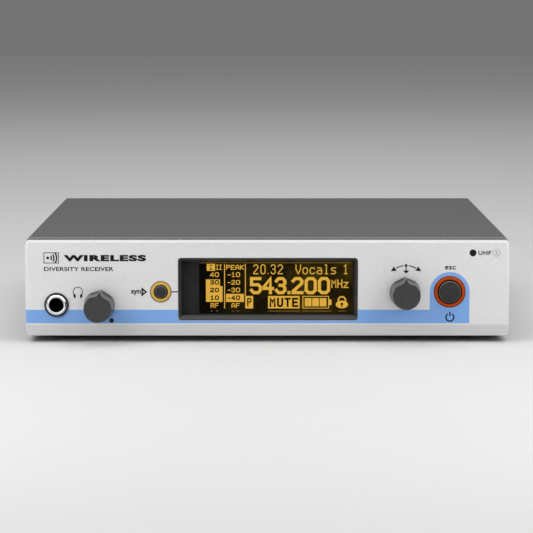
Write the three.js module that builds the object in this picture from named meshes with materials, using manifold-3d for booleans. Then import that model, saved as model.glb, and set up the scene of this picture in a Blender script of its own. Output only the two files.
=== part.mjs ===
// Half-rack wireless receiver unit: an aluminium front panel with a display, two pointer knobs, two lit push buttons and
// a headphone socket, in front of a folded sheet-steel tray and cover that hold the boards and carry the rear sockets.
// Millimetres. +X is to the right seen from the front, the front faces -Y, +Z is up. The origin is at the centre of the
// footprint, on the surface that the feet stand on.
import * as THREE from "three";
import { mergeVertices } from "three/addons/utils/BufferGeometryUtils.js";
import Module from "manifold-3d";

const wasm = await Module();
wasm.setup();

// ---------- driving dimensions ----------
const W = 212; // width of the unit
const H = 43; // height of the housing without its feet
const B = 2; // height of the feet: the housing's underside
const TOP = B + H;
const Y_FRONT = -101; // foremost plane, the knobs' faces
const FACE = -89.6; // front face of the front panel
const PANEL_D = 8.4; // depth of the front panel's rim
const COVER_Y0 = -80.9; // front edge of the cover
const REAR = 90.9; // rear edge of the cover
const WALL_Y = 89.8; // outer face of the rear wall
const Y_REAR = 101; // rearmost plane, the antenna sockets
const T = 0.8; // sheet-steel thickness
const GAP = 0.3; // clearance between pieces that touch
const SEAT = WALL_Y + GAP; // where a rear flange begins
const BOARD_Z = B + 6.8; // underside of the main board
const BOARD_T = 1.6;
const FB_Y = -73.6; // front side of the front board

const WINDOW = { x: 0.28, z: B + 21.83, w: 78.4, h: 27.3 };
const PHONES = { x: -92.3, z: B + 14.96 };
const VOLUME = { x: -73.5, z: B + 14.7, turn: 7.9 }; // turn: pointer, degrees clockwise of upright
const SYNC = { x: -46.6, z: B + 20.7 };
const JOG = { x: 60.25, z: B + 20.35, turn: -2 };
const ESC = { x: 79.8, z: B + 20.7 };
const ANT = { x: 92, z: B + 20 };
const LINE = { x: 30, z: B + 20 };
const XLR = { x: -2, z: B + 20 };
const DATA = { x: -30, z: B + 20 };
const DC = { x: -50, z: B + 20 };
const GRIP = { x: -66, z: B + 20 };
const KNOB_BASE = FACE - 0.8;
const SIDE_SCREWS = [-68, -43];
const TAB_X = 60;

// ---------- solids ----------
function solid(geometry) {
  const g = geometry.clone();
  g.deleteAttribute("normal");
  g.deleteAttribute("uv");
  const m = mergeVertices(g, 1e-4);
  return new wasm.Manifold(
    new wasm.Mesh({
      numProp: 3,
      vertProperties: new Float32Array(m.attributes.position.array),
      triVerts: new Uint32Array(m.index.array),
    }),
  );
}
function geometryOf(manifold) {
  const m = manifold.getMesh();
  const v = new Float32Array(m.numVert * 3);
  for (let i = 0; i < m.numVert; i++)
    for (let k = 0; k < 3; k++)
      v[i * 3 + k] = m.vertProperties[i * m.numProp + k];
  const g = new THREE.BufferGeometry();
  g.setAttribute("position", new THREE.BufferAttribute(v, 3));
  g.setIndex(new THREE.BufferAttribute(new Uint32Array(m.triVerts), 1));
  g.computeVertexNormals();
  return g;
}
const box = (x0, x1, y0, y1, z0, z1) =>
  solid(
    new THREE.BoxGeometry(x1 - x0, y1 - y0, z1 - z0).translate(
      (x0 + x1) / 2,
      (y0 + y1) / 2,
      (z0 + z1) / 2,
    ),
  );
// A round bar along Y from y0 to y1.
const bar = (x, z, y0, y1, r, n = 24, r1 = r) =>
  solid(
    new THREE.CylinderGeometry(r1, r, y1 - y0, n).translate(
      x,
      (y0 + y1) / 2,
      z,
    ),
  );
// A turned piece about the Y axis: pairs of [radius, y], starting and ending on the axis or closing on themselves.
const turned = (pairs, n = 24) =>
  solid(
    new THREE.LatheGeometry(
      pairs.map(([r, y]) => new THREE.Vector2(r, y)),
      n,
    ),
  );
const shapeOf = (points) =>
  new THREE.Shape(points.map(([a, b]) => new THREE.Vector2(a, b)));
// A prism along X of a [y, z] outline, along Y of an [x, z] outline, and along Z of an [x, y] outline.
function prismX(points, x0, x1) {
  const g = new THREE.ExtrudeGeometry(shapeOf(points), {
    depth: x1 - x0,
    bevelEnabled: false,
  });
  g.applyMatrix4(
    new THREE.Matrix4().makeBasis(
      new THREE.Vector3(0, 1, 0),
      new THREE.Vector3(0, 0, 1),
      new THREE.Vector3(1, 0, 0),
    ),
  );
  return solid(g.translate(x0, 0, 0));
}
function prismY(shape, y0, y1) {
  const g = new THREE.ExtrudeGeometry(
    Array.isArray(shape) ? shapeOf(shape) : shape,
    { depth: y1 - y0, bevelEnabled: false, curveSegments: 4 },
  );
  g.applyMatrix4(
    new THREE.Matrix4().makeBasis(
      new THREE.Vector3(1, 0, 0),
      new THREE.Vector3(0, 0, 1),
      new THREE.Vector3(0, -1, 0),
    ),
  );
  return solid(g.translate(0, y1, 0));
}
function prismZ(points, z0, z1) {
  const g = new THREE.ExtrudeGeometry(shapeOf(points), {
    depth: z1 - z0,
    bevelEnabled: false,
  });
  return solid(g.translate(0, 0, z0));
}
// A rounded rectangle centred on (cx, cy).
function roundRect(cx, cy, w, h, r) {
  const s = new THREE.Shape();
  const [a, b, c, d] = [cx - w / 2, cx + w / 2, cy - h / 2, cy + h / 2];
  s.moveTo(a + r, c);
  s.lineTo(b - r, c);
  s.absarc(b - r, c + r, r, -Math.PI / 2, 0, false);
  s.lineTo(b, d - r);
  s.absarc(b - r, d - r, r, 0, Math.PI / 2, false);
  s.lineTo(a + r, d);
  s.absarc(a + r, d - r, r, Math.PI / 2, Math.PI, false);
  s.lineTo(a, c + r);
  s.absarc(a + r, c + r, r, Math.PI, 1.5 * Math.PI, false);
  return s;
}
// Points of an arc, in degrees.
const arc = (cx, cy, r, a0, a1, n) =>
  Array.from({ length: n + 1 }, (_, i) => {
    const a = ((a0 + ((a1 - a0) * i) / n) * Math.PI) / 180;
    return [cx + r * Math.cos(a), cy + r * Math.sin(a)];
  });

// ---------- materials ----------
const mat = (color, roughness, metalness, extra = {}) =>
  new THREE.MeshStandardMaterial({ color, roughness, metalness, ...extra });
const M = {
  aluminium: mat(0xd4d4d3, 0.45, 0.7),
  paint: mat(0x6a6a6a, 0.6, 0.2),
  bezel: mat(0x2e2e2f, 0.5, 0.1),
  window: mat(0x1a1512, 0.1, 0.0, { transparent: true, opacity: 0.5 }),
  display: mat(0x0c0a06, 0.4, 0.0),
  knob: mat(0x404042, 0.6, 0.0),
  amber: mat(0xd9b35a, 0.4, 0.0),
  red: mat(0xbb4210, 0.4, 0.0),
  chrome: mat(0xdedede, 0.12, 1.0),
  black: mat(0x1d1d1e, 0.5, 0.0),
  steel: mat(0xb5b6b8, 0.35, 0.9),
  gold: mat(0xcfa34a, 0.3, 1.0),
  board: mat(0x1f5c35, 0.5, 0.0),
  ptfe: mat(0xece9e0, 0.6, 0.0),
  rubber: mat(0x1a1a1a, 0.9, 0.0),
  ribbon: mat(0xb9bcc2, 0.6, 0.0),
};

// ---------- scene graph ----------
const unit = new THREE.Group();
const housing = new THREE.Group();
const front = new THREE.Group();
const inside = new THREE.Group();
const rear = new THREE.Group();
unit.add(housing, front, inside, rear);

function add(group, name, manifold, material, at = [0, 0, 0], turnY = 0) {
  const mesh = new THREE.Mesh(geometryOf(manifold), material.clone());
  mesh.name = name;
  mesh.position.set(...at);
  mesh.rotation.y = turnY;
  group.add(mesh);
  return mesh;
}

// ---------- front panel: a milled aluminium dish ----------
{
  const profile = [
    [FACE + PANEL_D, B + 1.2],
    [FACE + PANEL_D, TOP],
    ...arc(FACE + 2, TOP - 2, 2, 90, 180, 4),
    [FACE, B + 6.5],
    [FACE + 3.0, B + 1.2],
  ].reverse();
  const r = 1.2;
  const plan = [
    [W / 2, FACE + PANEL_D + 1],
    [-W / 2, FACE + PANEL_D + 1],
    ...arc(-W / 2 + r, FACE + r, r, 180, 270, 3),
    ...arc(W / 2 - r, FACE + r, r, 270, 360, 3),
  ];
  const outer = prismX(profile, -W / 2 - 1, W / 2 + 1).intersect(
    prismZ(plan, B - 1, TOP + 1),
  );
  const hole = (p, rad, n = 24) =>
    bar(p.x, p.z, FACE - 1, FACE + 4, rad, n);
  const panel = outer
    .subtract(
      box(-W / 2 + 2.2, W / 2 - 2.2, FACE + 2.4, FACE + 9, B + 4.2, TOP - 2.2),
    )
    .subtract(
      prismY(
        roundRect(WINDOW.x, WINDOW.z, WINDOW.w + 2 * GAP, WINDOW.h + 2 * GAP, 1.3),
        FACE - 1,
        FACE + 4,
      ),
    )
    .subtract(hole(PHONES, 5.25))
    .subtract(hole(VOLUME, 3.9, 24))
    .subtract(hole(JOG, 3.9, 24))
    .subtract(hole(SYNC, 4.9))
    .subtract(hole(ESC, 7.25, 28));
  add(front, "front_panel", panel, M.aluminium);
}

// ---------- cover: top, two sides and two rear tabs, bent from one sheet ----------
{
  const ro = 1.6;
  const ri = ro - T;
  const xo = W / 2;
  const z0 = B + 1.2;
  const outline = [
    [xo, z0],
    ...arc(xo - ro, TOP - ro, ro, 0, 90, 4),
    ...arc(-xo + ro, TOP - ro, ro, 90, 180, 4),
    [-xo, z0],
    [-xo + T, z0],
    ...arc(-xo + ro, TOP - ro, ri, 180, 90, 3),
    ...arc(xo - ro, TOP - ro, ri, 90, 0, 3),
    [xo - T, z0],
  ];
  let cover = prismY(outline, COVER_Y0, REAR);
  for (const s of [-1, 1]) {
    cover = cover.add(
      box(s * TAB_X - 8, s * TAB_X + 8, SEAT, REAR, TOP - 9, TOP - 0.4),
    );
    cover = cover.subtract(
      bar(s * TAB_X, TOP - 4.6, SEAT - 1, REAR + 1, 1.8, 10),
    );
    for (const y of SIDE_SCREWS)
      cover = cover.subtract(
        solid(
          new THREE.CylinderGeometry(4.4, 4.4, 3, 20)
            .rotateZ(Math.PI / 2)
            .translate(s * (xo - 0.5), y, B + 21.5),
        ),
      );
  }
  add(housing, "top_cover", cover, M.paint);
}

// ---------- tray: floor, front wall, rear wall and side walls ----------
{
  const xo = W / 2 - T - GAP;
  const y0 = COVER_Y0 + 0.2;
  let tray = box(-xo, xo, y0, WALL_Y, B, B + T)
    .add(box(-xo, xo, y0, y0 + T, B, TOP - 2))
    .add(box(-xo, xo, WALL_Y - T, WALL_Y, B, TOP - 1.1))
    .add(box(-xo, -xo + T, y0, WALL_Y, B, B + 38))
    .add(box(xo - T, xo, y0, WALL_Y, B, B + 38));
  const f = (p, r, n = 12) => bar(p.x, p.z, y0 - 1, y0 + 2, r, n);
  const b = (p, r, n = 16) => bar(p.x, p.z, WALL_Y - 2, WALL_Y + 1, r, n);
  tray = tray
    .subtract(f(PHONES, 5.1, 16))
    .subtract(f(VOLUME, 3.9))
    .subtract(f(JOG, 3.9))
    .subtract(f(SYNC, 2.4))
    .subtract(f(ESC, 3.0))
    .subtract(box(-22, 22, y0 - 1, y0 + 2, B + 17, B + 25))
    .subtract(b({ x: ANT.x, z: ANT.z }, 5.1))
    .subtract(b({ x: -ANT.x, z: ANT.z }, 5.1))
    .subtract(b(XLR, 11.9, 24))
    .subtract(b(LINE, 6.0))
    .subtract(b(DC, 5.8))
    .subtract(
      box(DATA.x - 6.1, DATA.x + 6.1, WALL_Y - 2, WALL_Y + 1, DATA.z - 6.3, DATA.z + 6.3),
    );
  for (const s of [-1, 1]) {
    tray = tray.subtract(
      bar(s * TAB_X, TOP - 4.6, WALL_Y - 2, WALL_Y + 1, 1.8, 10),
    );
    for (const y of SIDE_SCREWS)
      tray = tray.subtract(
        solid(
          new THREE.CylinderGeometry(3.4, 3.4, 3, 12)
            .rotateZ(Math.PI / 2)
            .translate(s * xo, y, B + 21.5),
        ),
      );
  }
  add(housing, "chassis_tray", tray, M.paint);
}

// ---------- feet and housing screws ----------
{
  const foot = solid(new THREE.CylinderGeometry(6.5, 6.1, B - GAP, 20).rotateX(Math.PI / 2));
  for (const [n, x, y] of [
    ["front_left", -88, -68],
    ["front_right", 88, -68],
    ["rear_left", -88, 74],
    ["rear_right", 88, 74],
  ])
    add(housing, "foot_" + n, foot, M.rubber, [x, y, (B - GAP) / 2]);

  // Countersunk M4 screw, head flush with the cover's side, along +X into the unit.
  const cross = (l, w) =>
    box(-0.1, 1.3, -l / 2, l / 2, -w / 2, w / 2).add(
      box(-0.1, 1.3, -w / 2, w / 2, -l / 2, l / 2),
    );
  const side = solid(
    new THREE.LatheGeometry(
      [
        [0, 0],
        [3.95, 0],
        [3.95, 0.25],
        [1.9, 2.4],
        [1.9, 5.4],
        [0, 5.4],
      ].map(([r, y]) => new THREE.Vector2(r, y)),
      16,
    ),
  );
  // LatheGeometry runs along Y: turn it to run along +X.
  const alongX = side.rotate([0, 0, -90]).subtract(cross(4.2, 0.9));
  const names = { "-1": "left", 1: "right" };
  for (const s of [-1, 1])
    SIDE_SCREWS.forEach((y, i) =>
      add(
        housing,
        `side_screw_${names[s]}_${i ? "rear" : "front"}`,
        alongX,
        M.steel,
        [(s * W) / 2, y, B + 21.5],
        s < 0 ? 0 : Math.PI,
      ),
    );

  // Pan-head M3 screw of a rear tab.
  const pan = turned(
    [
      [0, 0],
      [1.4, 0],
      [1.4, 6],
      [2.8, 6],
      [2.8, 7.1],
      [2.2, 7.8],
      [0, 8],
    ],
    14,
  ).subtract(
    box(-1.5, 1.5, 6.9, 8.2, -0.35, 0.35).add(
      box(-0.35, 0.35, 6.9, 8.2, -1.5, 1.5),
    ),
  );
  for (const s of [-1, 1])
    add(housing, `tab_screw_${names[s]}`, pan, M.steel, [
      s * TAB_X,
      REAR + GAP - 6,
      TOP - 4.6,
    ]);
}

// ---------- display ----------
{
  const { x, z, w, h } = WINDOW;
  const yf = FACE - 0.2;
  // The sloping mouth: full size at the front, the glass's opening at the back.
  const mouth = new THREE.BoxGeometry(1, 1, 1);
  const p = mouth.attributes.position;
  const wide = [x - w / 2 + 0.3, x + w / 2 - 0.3, z - h / 2 + 0.35, z + h / 2 - 0.3];
  const deep = [x - w / 2 + 1.4, x + w / 2 - 1.4, z - h / 2 + 2.0, z + h / 2 - 1.6];
  const lerp = (a, b, t) => a + (b - a) * t;
  for (let i = 0; i < p.count; i++) {
    const atFront = p.getY(i) < 0;
    const e = atFront ? wide : deep;
    const k = (yf - 1 - (FACE + 1.7)) / (yf - (FACE + 1.7)); // carry the slope 1 mm ahead of the face
    const q = (j) => (atFront ? lerp(deep[j], wide[j], k) : e[j]);
    p.setXYZ(
      i,
      p.getX(i) < 0 ? q(0) : q(1),
      atFront ? yf - 1 : FACE + 1.7,
      p.getZ(i) < 0 ? q(2) : q(3),
    );
  }
  const frame = prismY(roundRect(x, z, w, h, 1.0), yf, FACE + 5)
    .subtract(solid(mouth))
    .subtract(box(deep[0], deep[1], FACE + 1.5, FACE + 2.2, deep[2], deep[3]))
    .subtract(
      box(x - w / 2 + 0.6, x + w / 2 - 0.6, FACE + 2.0, FACE + 6, z - h / 2 + 1, z + h / 2 - 1),
    );
  add(front, "display_frame", frame, M.bezel);
  add(
    front,
    "display_window",
    box(x - w / 2 + 0.9, x + w / 2 - 0.9, FACE + 2.3, FACE + 3.5, z - h / 2 + 1.3, z + h / 2 - 1.3),
    M.window,
  );
  add(
    front,
    "display_module",
    box(x - w / 2 + 0.95, x + w / 2 - 0.95, FACE + 3.8, FACE + 7.6, z - h / 2 + 1.35, z + h / 2 - 1.35)
      .add(box(-18, 18, FACE + 7.5, FACE + 8.3, B + 18, B + 24)),
    M.display,
  );
}

// ---------- pointer knobs ----------
// Outline radius against the angle from the pointer, in degrees, at the base and at the face. Two finger scoops flank the pointer.
const KNOB_BASE_R = [[0, 7.15], [4, 6.98], [8, 6.87], [17, 6.65], [26, 6.56], [36, 6.74], [45, 6.88], [180, 6.88]];
const KNOB_FACE_R = [[0, 7.6], [3, 6.95], [6.7, 6.25], [10.6, 5.88], [17.5, 5.62], [29, 5.6], [38, 5.84], [45, 6.0], [180, 6.0]];
const table = (rows, a) => {
  const i = Math.max(1, rows.findIndex(([t]) => t >= a));
  const [a0, r0] = rows[i - 1];
  const [a1, r1] = rows[i];
  return r0 + ((r1 - r0) * (a - a0)) / (a1 - a0);
};
function knob(length, boreDepth) {
  const half = [0, 3, 6.7, 10.6, 17, 23, 29, 36, 45, 56, 67, 78, 90, 102, 114, 126, 138, 152, 166, 180];
  const angles = [...half.map((a) => a), ...half.slice(1, -1).reverse().map((a) => -a)];
  const outline = angles.map((a) => {
    const r = table(KNOB_BASE_R, Math.abs(a));
    const t = (a * Math.PI) / 180;
    return [r * Math.sin(t), r * Math.cos(t)];
  });
  const g = new THREE.ExtrudeGeometry(shapeOf(outline), {
    depth: length,
    steps: 1,
    bevelEnabled: false,
  });
  const p = g.attributes.position;
  for (let i = 0; i < p.count; i++) {
    const a = (Math.abs(Math.atan2(p.getX(i), p.getY(i))) * 180) / Math.PI;
    const k = p.getZ(i) / length;
    const r =
      table(KNOB_BASE_R, a) + (table(KNOB_FACE_R, a) - table(KNOB_BASE_R, a)) * k;
    const t = Math.atan2(p.getX(i), p.getY(i));
    p.setXYZ(i, r * Math.sin(t), r * Math.cos(t), p.getZ(i));
  }
  // The outline lies in X-Z, and the knob grows from its base at y 0 towards -Y.
  g.applyMatrix4(
    new THREE.Matrix4().makeBasis(
      new THREE.Vector3(1, 0, 0),
      new THREE.Vector3(0, 0, 1),
      new THREE.Vector3(0, -1, 0),
    ),
  );
  return solid(g).subtract(bar(0, 0, -boreDepth, 1, 3.3, 24));
}
{
  const length = KNOB_BASE - Y_FRONT;
  const k = knob(length, length - 2.8);
  for (const [n, p] of [["volume_knob", VOLUME], ["jog_dial", JOG]])
    add(front, n, k, M.knob, [p.x, KNOB_BASE, p.z], (p.turn * Math.PI) / 180);
}

// ---------- volume potentiometer and push-turn encoder ----------
{
  const shaftFront = Y_FRONT + 3.1;
  const bodyFront = -79.6;
  const body = (w, h) =>
    box(-w / 2, w / 2, bodyFront, FB_Y - GAP, -h / 2, h / 2)
      .add(bar(0, 0, -85.8, bodyFront + 0.5, 3.7, 20))
      .subtract(bar(0, 0, -90, -75.4, 3.35, 20));
  const shaft = (back) =>
    bar(0, 0, shaftFront, back, 3.0, 20).subtract(
      box(-4, 4, shaftFront - 1, shaftFront + 6, 2.2, 4),
    );
  add(inside, "volume_pot_body", body(12, 12), M.steel, [VOLUME.x, 0, VOLUME.z]);
  add(front, "volume_pot_shaft", shaft(-76.2), M.steel, [VOLUME.x, 0, VOLUME.z]);
  add(inside, "encoder_body", body(12.6, 13), M.black, [JOG.x, 0, JOG.z]);
  add(front, "encoder_shaft", shaft(-78.6), M.steel, [JOG.x, 0, JOG.z]);
  add(inside, "encoder_plunger", bar(0, 0, -78.3, -76.4, 2.6, 14), M.black, [JOG.x, 0, JOG.z]);
}

// ---------- lit push buttons ----------
function pushButton(name, p, d, capMat, ringMat) {
  const ring = turned([
    [d.ri, FACE - 0.15],
    [d.ri, FACE + 5.6],
    [d.ro + 1.2, FACE + 5.6],
    [d.ro + 1.2, FACE + 2.7],
    [d.ro, FACE + 2.7],
    [d.ro, FACE - 0.1],
    [d.ro - 0.45, FACE - 0.4],
    [d.ri + 0.3, FACE - 0.4],
    [d.ri, FACE - 0.15],
  ].reverse(), 22);
  const y0 = FACE - d.proud;
  const button = turned([
    [0, -79.5],
    [d.stem, -79.5],
    [d.stem, FACE + 7.3],
    [d.ri + 0.7, FACE + 7.3],
    [d.ri + 0.7, FACE + 5.9],
    [d.rc, FACE + 5.9],
    [d.rc, y0 + d.chamfer],
    [d.rc - d.chamfer, y0],
    [0, y0],
  ].reverse(), 22);
  const sw = box(-3.1, 3.1, -77.4, FB_Y - GAP, -3.1, 3.1).subtract(
    bar(0, 0, -80, -75.2, 1.9, 12),
  );
  const at = [p.x, 0, p.z];
  add(front, name + "_light_ring", ring, ringMat, at);
  add(front, name + "_button", button, capMat, at);
  add(inside, name + "_switch", sw, M.black, at);
  add(inside, name + "_plunger", bar(0, 0, -79.2, -76.5, 1.5, 12), M.red, at);
}
pushButton("sync", SYNC, { ro: 4.6, ri: 3.25, rc: 2.9, stem: 1.6, proud: 0.9, chamfer: 0.4 }, M.knob, M.amber);
pushButton("esc", ESC, { ro: 6.95, ri: 5.5, rc: 5.15, stem: 2.2, proud: 1.3, chamfer: 0.5 }, M.knob, M.red);

// ---------- headphone socket ----------
{
  const at = [PHONES.x, 0, PHONES.z];
  add(
    front,
    "headphone_collar",
    turned([
      [4.75, FACE - 0.75],
      [5.2, FACE - 0.75],
      [5.35, FACE - 0.55],
      [5.35, FACE - 0.3],
      [4.95, FACE - 0.3],
      [4.95, FACE + 2.7],
      [4.75, FACE + 2.7],
      [4.75, FACE - 0.75],
    ], 24),
    M.black,
    at,
  );
  add(
    front,
    "headphone_bushing",
    turned([
      [3.2, FACE - 0.6],
      [3.75, FACE - 1.5],
      [4.15, FACE - 1.5],
      [4.45, FACE - 1.1],
      [4.45, -79.9],
      [3.2, -79.9],
      [3.2, FACE - 0.6],
    ], 24),
    M.chrome,
    at,
  );
  add(
    inside,
    "headphone_jack_body",
    box(-7.5, 7.5, -79.6, -51.6, -6.5, 6.5).subtract(bar(0, 0, -81, -53.5, 3.25, 24)),
    M.black,
    at,
  );
  add(inside, "headphone_board", box(-101.5, -83.5, -78.5, -49, B + 6.5, B + 8.1), M.board);
}

// ---------- boards, shields, ribbon ----------
{
  add(
    inside,
    "front_board",
    box(-80, 94, FB_Y, FB_Y + 1.6, B + 3, B + 40),
    M.board,
  );
  add(
    inside,
    "main_board",
    box(-99, 99, -46, 70, BOARD_Z, BOARD_Z + BOARD_T),
    M.board,
  );
  for (const [n, x0, x1] of [["a", 26, 92], ["b", -92, -26]])
    add(
      inside,
      "rf_shield_" + n,
      box(x0, x1, -8, 48, BOARD_Z + BOARD_T + GAP, BOARD_Z + 13).subtract(
        box(x0 + 0.6, x1 - 0.6, -7.4, 47.4, BOARD_Z, BOARD_Z + 12.4),
      ),
      M.steel,
    );
  // Flat ribbon between the two boards, with its plugs.
  const y0 = FB_Y + 1.6 + GAP;
  const zt = BOARD_Z + BOARD_T + GAP;
  add(
    inside,
    "ribbon_cable",
    prismX(
      [
        [y0, B + 18],
        [y0 + 4, B + 18],
        [y0 + 4, B + 20.2],
        [y0 + 12, B + 19.4],
        [y0 + 20, B + 16.6],
        [y0 + 27.8, B + 13.6],
        [y0 + 29.4, zt + 4],
        [y0 + 29.4, zt],
        [y0 + 33.4, zt],
        [y0 + 33.4, zt + 4],
        [y0 + 30.6, zt + 4],
        [y0 + 29.0, B + 14.2],
        [y0 + 20.3, B + 17.6],
        [y0 + 12.1, B + 20.4],
        [y0 + 4, B + 21.2],
        [y0 + 4, B + 23],
        [y0, B + 23],
      ].reverse().map((q) => q),
      -12,
      12,
    ),
    M.ribbon,
  );
  const post = solid(
    new THREE.CylinderGeometry(2.9, 2.9, BOARD_Z - GAP - (B + T + GAP), 6).rotateX(Math.PI / 2),
  );
  let i = 0;
  for (const [x, y] of [[-94, -40], [94, -40], [-94, 64], [94, 64]])
    add(inside, "board_standoff_" + ++i, post, M.steel, [x, y, (BOARD_Z + B + T) / 2]);
}

// ---------- rear sockets ----------
{
  // Antenna sockets: bayonet type, with an inner flange, an outer nut and an insulator.
  const lugs = (s) =>
    s.add(
      solid(
        new THREE.CylinderGeometry(1, 1, 11, 10)
          .rotateX(Math.PI / 2)
          .translate(0, Y_REAR - 2.6, 0),
      ).subtract(bar(0, 0, Y_REAR - 6, Y_REAR, 4.4, 16)),
    );
  const shell = lugs(
    turned([
      [2.7, 84],
      [7, 84],
      [7, WALL_Y - T - GAP],
      [4.7, WALL_Y - T - GAP],
      [4.7, Y_REAR - 0.4],
      [4.4, Y_REAR],
      [4.1, Y_REAR],
      [4.1, Y_REAR - 5.5],
      [2.7, Y_REAR - 5.5],
      [2.7, 84],
    ], 24),
  );
  const nut = solid(
    new THREE.CylinderGeometry(7.5, 7.5, 2.4, 6).translate(0, SEAT + 1.2, 0),
  ).subtract(bar(0, 0, SEAT - 1, SEAT + 4, 5.05, 16));
  const ptfe = turned([
    [0.75, 84.5],
    [2.4, 84.5],
    [2.4, Y_REAR - 1],
    [0.75, Y_REAR - 1],
    [0.75, 84.5],
  ], 14);
  for (const [n, x] of [["a", -ANT.x], ["b", ANT.x]]) {
    add(rear, `antenna_socket_${n}`, shell, M.chrome, [x, 0, ANT.z]);
    add(rear, `antenna_nut_${n}`, nut, M.steel, [x, 0, ANT.z]);
    add(rear, `antenna_insulator_${n}`, ptfe, M.ptfe, [x, 0, ANT.z]);
  }

  // Balanced output: three pins set in the floor of a flanged cup.
  const pins = [
    [3.55, 2.45],
    [-3.55, 2.45],
    [0, -4.3],
  ];
  let cup = prismY(roundRect(0, 0, 26, 31, 2), SEAT, SEAT + 2)
    .add(bar(0, 0, 72, SEAT + 0.5, 11.4, 28))
    .subtract(bar(0, 0, 78.3, SEAT + 3, 8.1, 24))
    .subtract(bar(-9.5, 12, SEAT - 1, SEAT + 3, 1.7, 10))
    .subtract(bar(9.5, -12, SEAT - 1, SEAT + 3, 1.7, 10));
  for (const [x, z] of pins) cup = cup.subtract(bar(x, z, 74, 80, 1.6, 10));
  add(rear, "xlr_housing", cup, M.black, [XLR.x, 0, XLR.z]);
  pins.forEach(([x, z], i) =>
    add(
      rear,
      `xlr_pin_${i + 1}`,
      turned([
        [0, 74.3],
        [1.2, 74.3],
        [1.2, SEAT - 0.9],
        [0.6, SEAT],
        [0, SEAT],
      ], 12),
      M.steel,
      [XLR.x + x, 0, XLR.z + z],
    ),
  );

  // Unbalanced output: quarter-inch socket with a round nut.
  add(
    rear,
    "line_out_jack",
    box(-8, 8, 60, WALL_Y - T - GAP, -7, 7)
      .add(bar(0, 0, 88, SEAT + 3.2, 5.6, 24))
      .subtract(bar(0, 0, 62, 96, 3.25, 20)),
    M.black,
    [LINE.x, 0, LINE.z],
  );
  add(
    rear,
    "line_out_nut",
    bar(0, 0, SEAT, SEAT + 2.2, 8, 24).subtract(bar(0, 0, SEAT - 1, SEAT + 4, 6.0, 24)),
    M.steel,
    [LINE.x, 0, LINE.z],
  );

  // Network-style socket for remote control data.
  add(
    rear,
    "data_socket",
    box(-5.8, 5.8, 74, SEAT + 0.5, -6, 6)
      .subtract(box(-3.95, 3.95, 77, 93, -2.6, 3.6))
      .subtract(box(-1.7, 1.7, 80, 93, -4.6, -2.5)),
    M.black,
    [DATA.x, 0, DATA.z],
  );

  // Supply socket with its centre pin, and the hook that relieves the supply cable.
  add(
    rear,
    "dc_socket",
    box(-5.5, 5.5, 76, WALL_Y - T - GAP, -5.5, 5.5)
      .add(bar(0, 0, 88, SEAT + 1, 5.4, 20))
      .subtract(bar(0, 0, 81, 93, 3.0, 16)),
    M.black,
    [DC.x, 0, DC.z],
  );
  add(rear, "dc_pin", bar(0, 0, 81.3, SEAT, 1.05, 12), M.steel, [DC.x, 0, DC.z]);
  add(
    rear,
    "cable_grip",
    prismX(
      [
        [SEAT, -8],
        [SEAT + 1.6, -8],
        [SEAT + 1.6, 6.4],
        [SEAT + 5.4, 6.4],
        [SEAT + 5.4, -3.4],
        [SEAT + 6.2, -4.4],
        [SEAT + 7, -3.4],
        [SEAT + 7, 6.8],
        [SEAT + 5.8, 8],
        [SEAT, 8],
      ],
      -4,
      4,
    ),
    M.black,
    [GRIP.x, 0, GRIP.z],
  );
}

export default unit;
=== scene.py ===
"""Half-rack wireless receiver unit: the looks. Lengths are in millimetres until a mesh is made."""
import math

import bmesh
import bpy
from mathutils import Matrix, Vector
from mathutils.geometry import delaunay_2d_cdt


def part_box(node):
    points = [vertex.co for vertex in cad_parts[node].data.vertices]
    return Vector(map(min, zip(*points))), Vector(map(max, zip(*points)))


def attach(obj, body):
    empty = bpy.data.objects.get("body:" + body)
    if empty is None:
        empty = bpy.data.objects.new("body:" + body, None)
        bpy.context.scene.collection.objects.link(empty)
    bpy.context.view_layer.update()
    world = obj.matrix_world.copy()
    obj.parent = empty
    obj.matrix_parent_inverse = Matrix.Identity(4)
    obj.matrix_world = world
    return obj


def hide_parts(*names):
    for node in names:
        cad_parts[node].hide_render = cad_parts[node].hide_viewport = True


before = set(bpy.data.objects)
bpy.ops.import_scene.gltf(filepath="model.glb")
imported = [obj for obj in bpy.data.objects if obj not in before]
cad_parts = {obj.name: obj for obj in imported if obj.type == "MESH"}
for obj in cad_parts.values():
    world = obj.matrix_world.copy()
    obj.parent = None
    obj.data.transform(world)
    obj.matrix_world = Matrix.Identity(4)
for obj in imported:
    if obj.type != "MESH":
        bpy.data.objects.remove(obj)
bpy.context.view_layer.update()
MM = 0.001
pi = math.pi


# ------------------------------------------------------------------ places from the CAD
def span(node):
    lo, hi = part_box(node)
    return [c * 1000 for c in lo], [c * 1000 for c in hi]


def axis_of(node):
    lo, hi = span(node)
    return (lo[0] + hi[0]) / 2, (lo[2] + hi[2]) / 2


P_LO, P_HI = span("front_panel")
C_LO, C_HI = span("top_cover")
W2 = P_HI[0]  # half width
FACE = P_LO[1]  # the panel's front
PANEL_Y1 = P_HI[1]
TOP = P_HI[2]
PANEL_Z0 = P_LO[2]
B = PANEL_Z0 - 1.2  # underside of the housing
REAR = C_HI[1]
SEAT = span("cable_grip")[0][1]
VOL = axis_of("volume_pot_shaft")
JOG = axis_of("encoder_shaft")
SYNC = axis_of("sync_light_ring")
ESC = axis_of("esc_light_ring")
PHONES = axis_of("headphone_collar")
F_LO, F_HI = span("display_frame")
VOL_TURN, JOG_TURN = 7.9, -2.0  # pointers at rest, degrees clockwise of upright

# ------------------------------------------------------------------ outlines


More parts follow.
